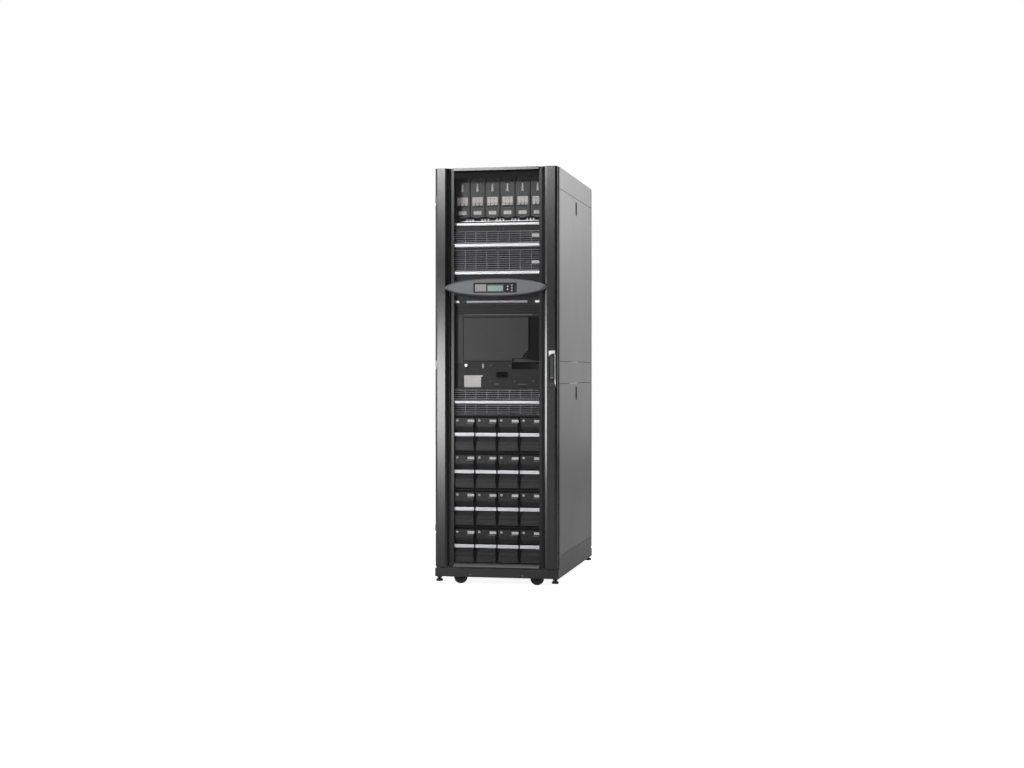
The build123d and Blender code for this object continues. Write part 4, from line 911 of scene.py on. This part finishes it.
# Power modules: steel boxes whose whole front is a guard of thin grey wires, seven uprights behind a
# close row of cross wires, with a bright bar across it and a blank label at the right.
guard_wire = satin_metal("bright_zinc_guard_wire", "#dcdcdf", 0.42)
guard_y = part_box("power_module_lower")[0].y - 0.0026
upright_y = guard_y + 0.0012
stub_y = guard_y + 0.0022
wire_half = 0.001
edge_wire = 1.7
wire_margin = 0.006
stub_margin = 0.004
cross_pitch = 0.0105
upright_x = (-0.1577, -0.1059, -0.0523, 0.0026, 0.0574, 0.1105, 0.1655)
guard_windows = {"power_module_lower": ((0.0275, 0.1255),), "power_module_upper": ((0.0255, 0.0805),),
                 "power_module_bottom": ((0.0035, 0.0515), (0.0745, 0.1255))}
guards = []
for name, windows in guard_windows.items():
    low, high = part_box(name)
    for start, end in windows:
        count = int((end - start) / cross_pitch) + 1
        first = low.z + (start + end) / 2 - (count - 1) * cross_pitch / 2
        for index in range(count):
            z = first + index * cross_pitch
            half = wire_half * (edge_wire if index in (0, count - 1) else 1.0)
            guards.append(spar((low.x + wire_margin, guard_y, z), (high.x - wire_margin, guard_y, z), half))
        guards.extend(spar((x, upright_y, low.z + start), (x, upright_y, low.z + end), wire_half)
                      for x in upright_x)
        guards.extend(spar((x, stub_y, low.z + edge), (x, guard_y, low.z + edge), wire_half)
                      for x in upright_x for edge in (start + stub_margin, end - stub_margin))
fitting("guard_wires", "root", guard_wire, guards)

module_label = (0, 0, 38, 15, 2.2, 1.2, 1, 0.3)
module_label_x = 0.187
module_lamp = ((5, -2), (5, 0.6), (3.8, 1.4), (1.5, 1.6))
module_lamp_x = 0.148
small_lamp = ((2.8, -0.4), (2.6, 1), (1.6, 1.6), (0.6, 1.7))
upper_low, upper_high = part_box("power_module_upper")
label_heights = (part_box("power_module_lower")[0].z + 0.0645, upper_low.z + 0.059)
fitting("module_labels", "root", paper,
        [set_plate(module_label_x, z, guard_y, module_label) for z in label_heights])
fitting("module_lamps", "root", pale_abs,
        [head(module_lamp_x, guard_y, z, module_lamp) for z in label_heights]
        + [head(x, upper_low.y, upper_high.z - 0.01, small_lamp, 16) for x in (-0.007, 0.0096, 0.0274)])


# Switch section: a painted steel panel with a blank pale plate, a rotary switch, a bright catch, a pale
# latch knob and a few screws.
switch_black = moulded_plastic("black_switch_nylon", "#040405", 0.6, 0.08)
notice_white = moulded_plastic("white_enamel_plate", "#f3f2f0", 0.45, grain_depth=fine_grain)
knob_x = (-0.1, -0.04)
paint_node("control_switches", switch_black)
paint_part("control_switches", paper, lambda middle: knob_x[0] < middle.x < knob_x[1])
paint_part("control_switches", bright_plating_and_highlight, lambda middle: middle.x < knob_x[0])
control_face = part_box("control_panel")[0].y
notice_outline = ((-0.166, 0.945), (-0.0835, 0.945), (-0.0835, 0.995), (-0.0745, 0.9965), (-0.0745, 1.0015),
                  (-0.166, 1.0015))
panel_screw = ((4.2, 0), (4, 1.2), (2.8, 2), (1, 2.2))
panel_screw_places = ((-0.037, 0.9725), (0.08, 0.9726), (0.172, 0.9744), (-0.037, 1.047), (0.058, 1.047))
panel_tabs = ((-0.0065, 0.96, (0, 0, 21, 3, 0.2, 1.2, 0.8, 0.3)),
              (0.1175, 0.95875, (0, 0, 45, 2.5, 0.2, 0.8, 0.8, 0.3)))
cover_edge = (-2, 1.15, 332, 3.3, 0.4, 2, 0.8, 0.4)
fitting("blank_notice_plate", "root", notice_white, [lofted(
    [[(x, y, z) for x, z in notice_outline] for y in (control_face + 0.0002, control_face - 0.0012)])])
fitting("control_panel_screws", "root", dark_screw,
        [head(x, control_face, z, panel_screw, 16) for x, z in panel_screw_places])
fitting("control_panel_tabs", "root", dim_paper,
        [set_plate(x, z, control_face, tab) for x, z, tab in panel_tabs])
fitting("cover_top_edge", "root", dim_paper,
        [set_plate(0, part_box("switch_cover")[1].z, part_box("vent_panel")[0].y, cover_edge)])


# Distribution section: six breaker modules with a white breaker group each, pale tapered latches, blank
# labels and grey pull tabs, over a row of tinned terminal clips on a steel tray.
breaker_coat = powder_coat("dark_grey_breaker_coat", "#2a2a2b", 0.36, 0.5, 2.0)
breaker_white = moulded_plastic("white_breaker_resin", "#f5f1ef", 0.42)
breaker_joint_and_shade_dark = moulded_plastic("dark_breaker_joints_and_painted_shade", "#2a2627", 0.45)
tinned = satin_metal("tinned_copper_clips", "#dededf", 0.35)
paint_node("breaker_modules", breaker_coat)
paint_node("breaker_blocks", breaker_white)
paint_node("terminal_strip", tinned)
breaker_low, breaker_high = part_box("breaker_modules")
breaker_face = breaker_low.y
block_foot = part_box("breaker_blocks")[0].z
terminal_low, terminal_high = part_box("terminal_strip")
toggle_rise = 0.0125
tray_drop = 0.0135
# The blocks' faces behind the toggles are painted dark: painted shade in the recess between the white toggles.
paint_part("breaker_blocks", breaker_joint_and_shade_dark,
           lambda middle: middle.z < block_foot + toggle_rise and middle.y > breaker_face)
paint_part("terminal_strip", module_coat, lambda middle: middle.z < terminal_high.z - tray_drop)
breaker_count = 6
breaker_gap = 0.005
breaker_pitch = (breaker_high.x - breaker_low.x + breaker_gap) / breaker_count
breaker_label = (0, 19.5, 38, 18, 0.2, 0.7, 1.2, 0.2)
pull_tab = (0, -1.75, 30, 5.5, 6, 1, 1.5, 0.5)
toggle_recess = (0, 7, 45, 13, 2.2, -1.4, 0.4, 0.1)
pole_joints = [(pole, 23, 1, 38, 2.2, -1.6, 0.4, 0.1) for pole in (-9, 9)]
breaker_x = [breaker_low.x + (index + 0.5) * breaker_pitch - breaker_gap / 2
             for index in range(breaker_count)]
# The toggle recesses are dark plates of painted shade; the pole joints are dark joints.
for name, material, foot, plates in (
        ("breaker_labels", paper, breaker_low.z, [breaker_label]),
        ("breaker_pull_tabs", dim_paper, breaker_low.z, [pull_tab]),
        ("breaker_pole_joints", breaker_joint_and_shade_dark, block_foot, pole_joints),
        ("breaker_toggle_recesses", breaker_joint_and_shade_dark, block_foot, [toggle_recess])):
    fitting(name, "root", material,
            [set_plate(x, foot, breaker_face, plate) for x in breaker_x for plate in plates])
strip_margin = 0.02
strip_top = terminal_high.z - 0.0108
strip_height = 0.003
fitting("terminal_cover_strip", "root", tinned, [rounded_plate(
    terminal_low.x + strip_margin, terminal_high.x - strip_margin, strip_top - strip_height, strip_top,
    breaker_face + 0.0002, breaker_face - 0.0016, 0.0008, 0.0004)])
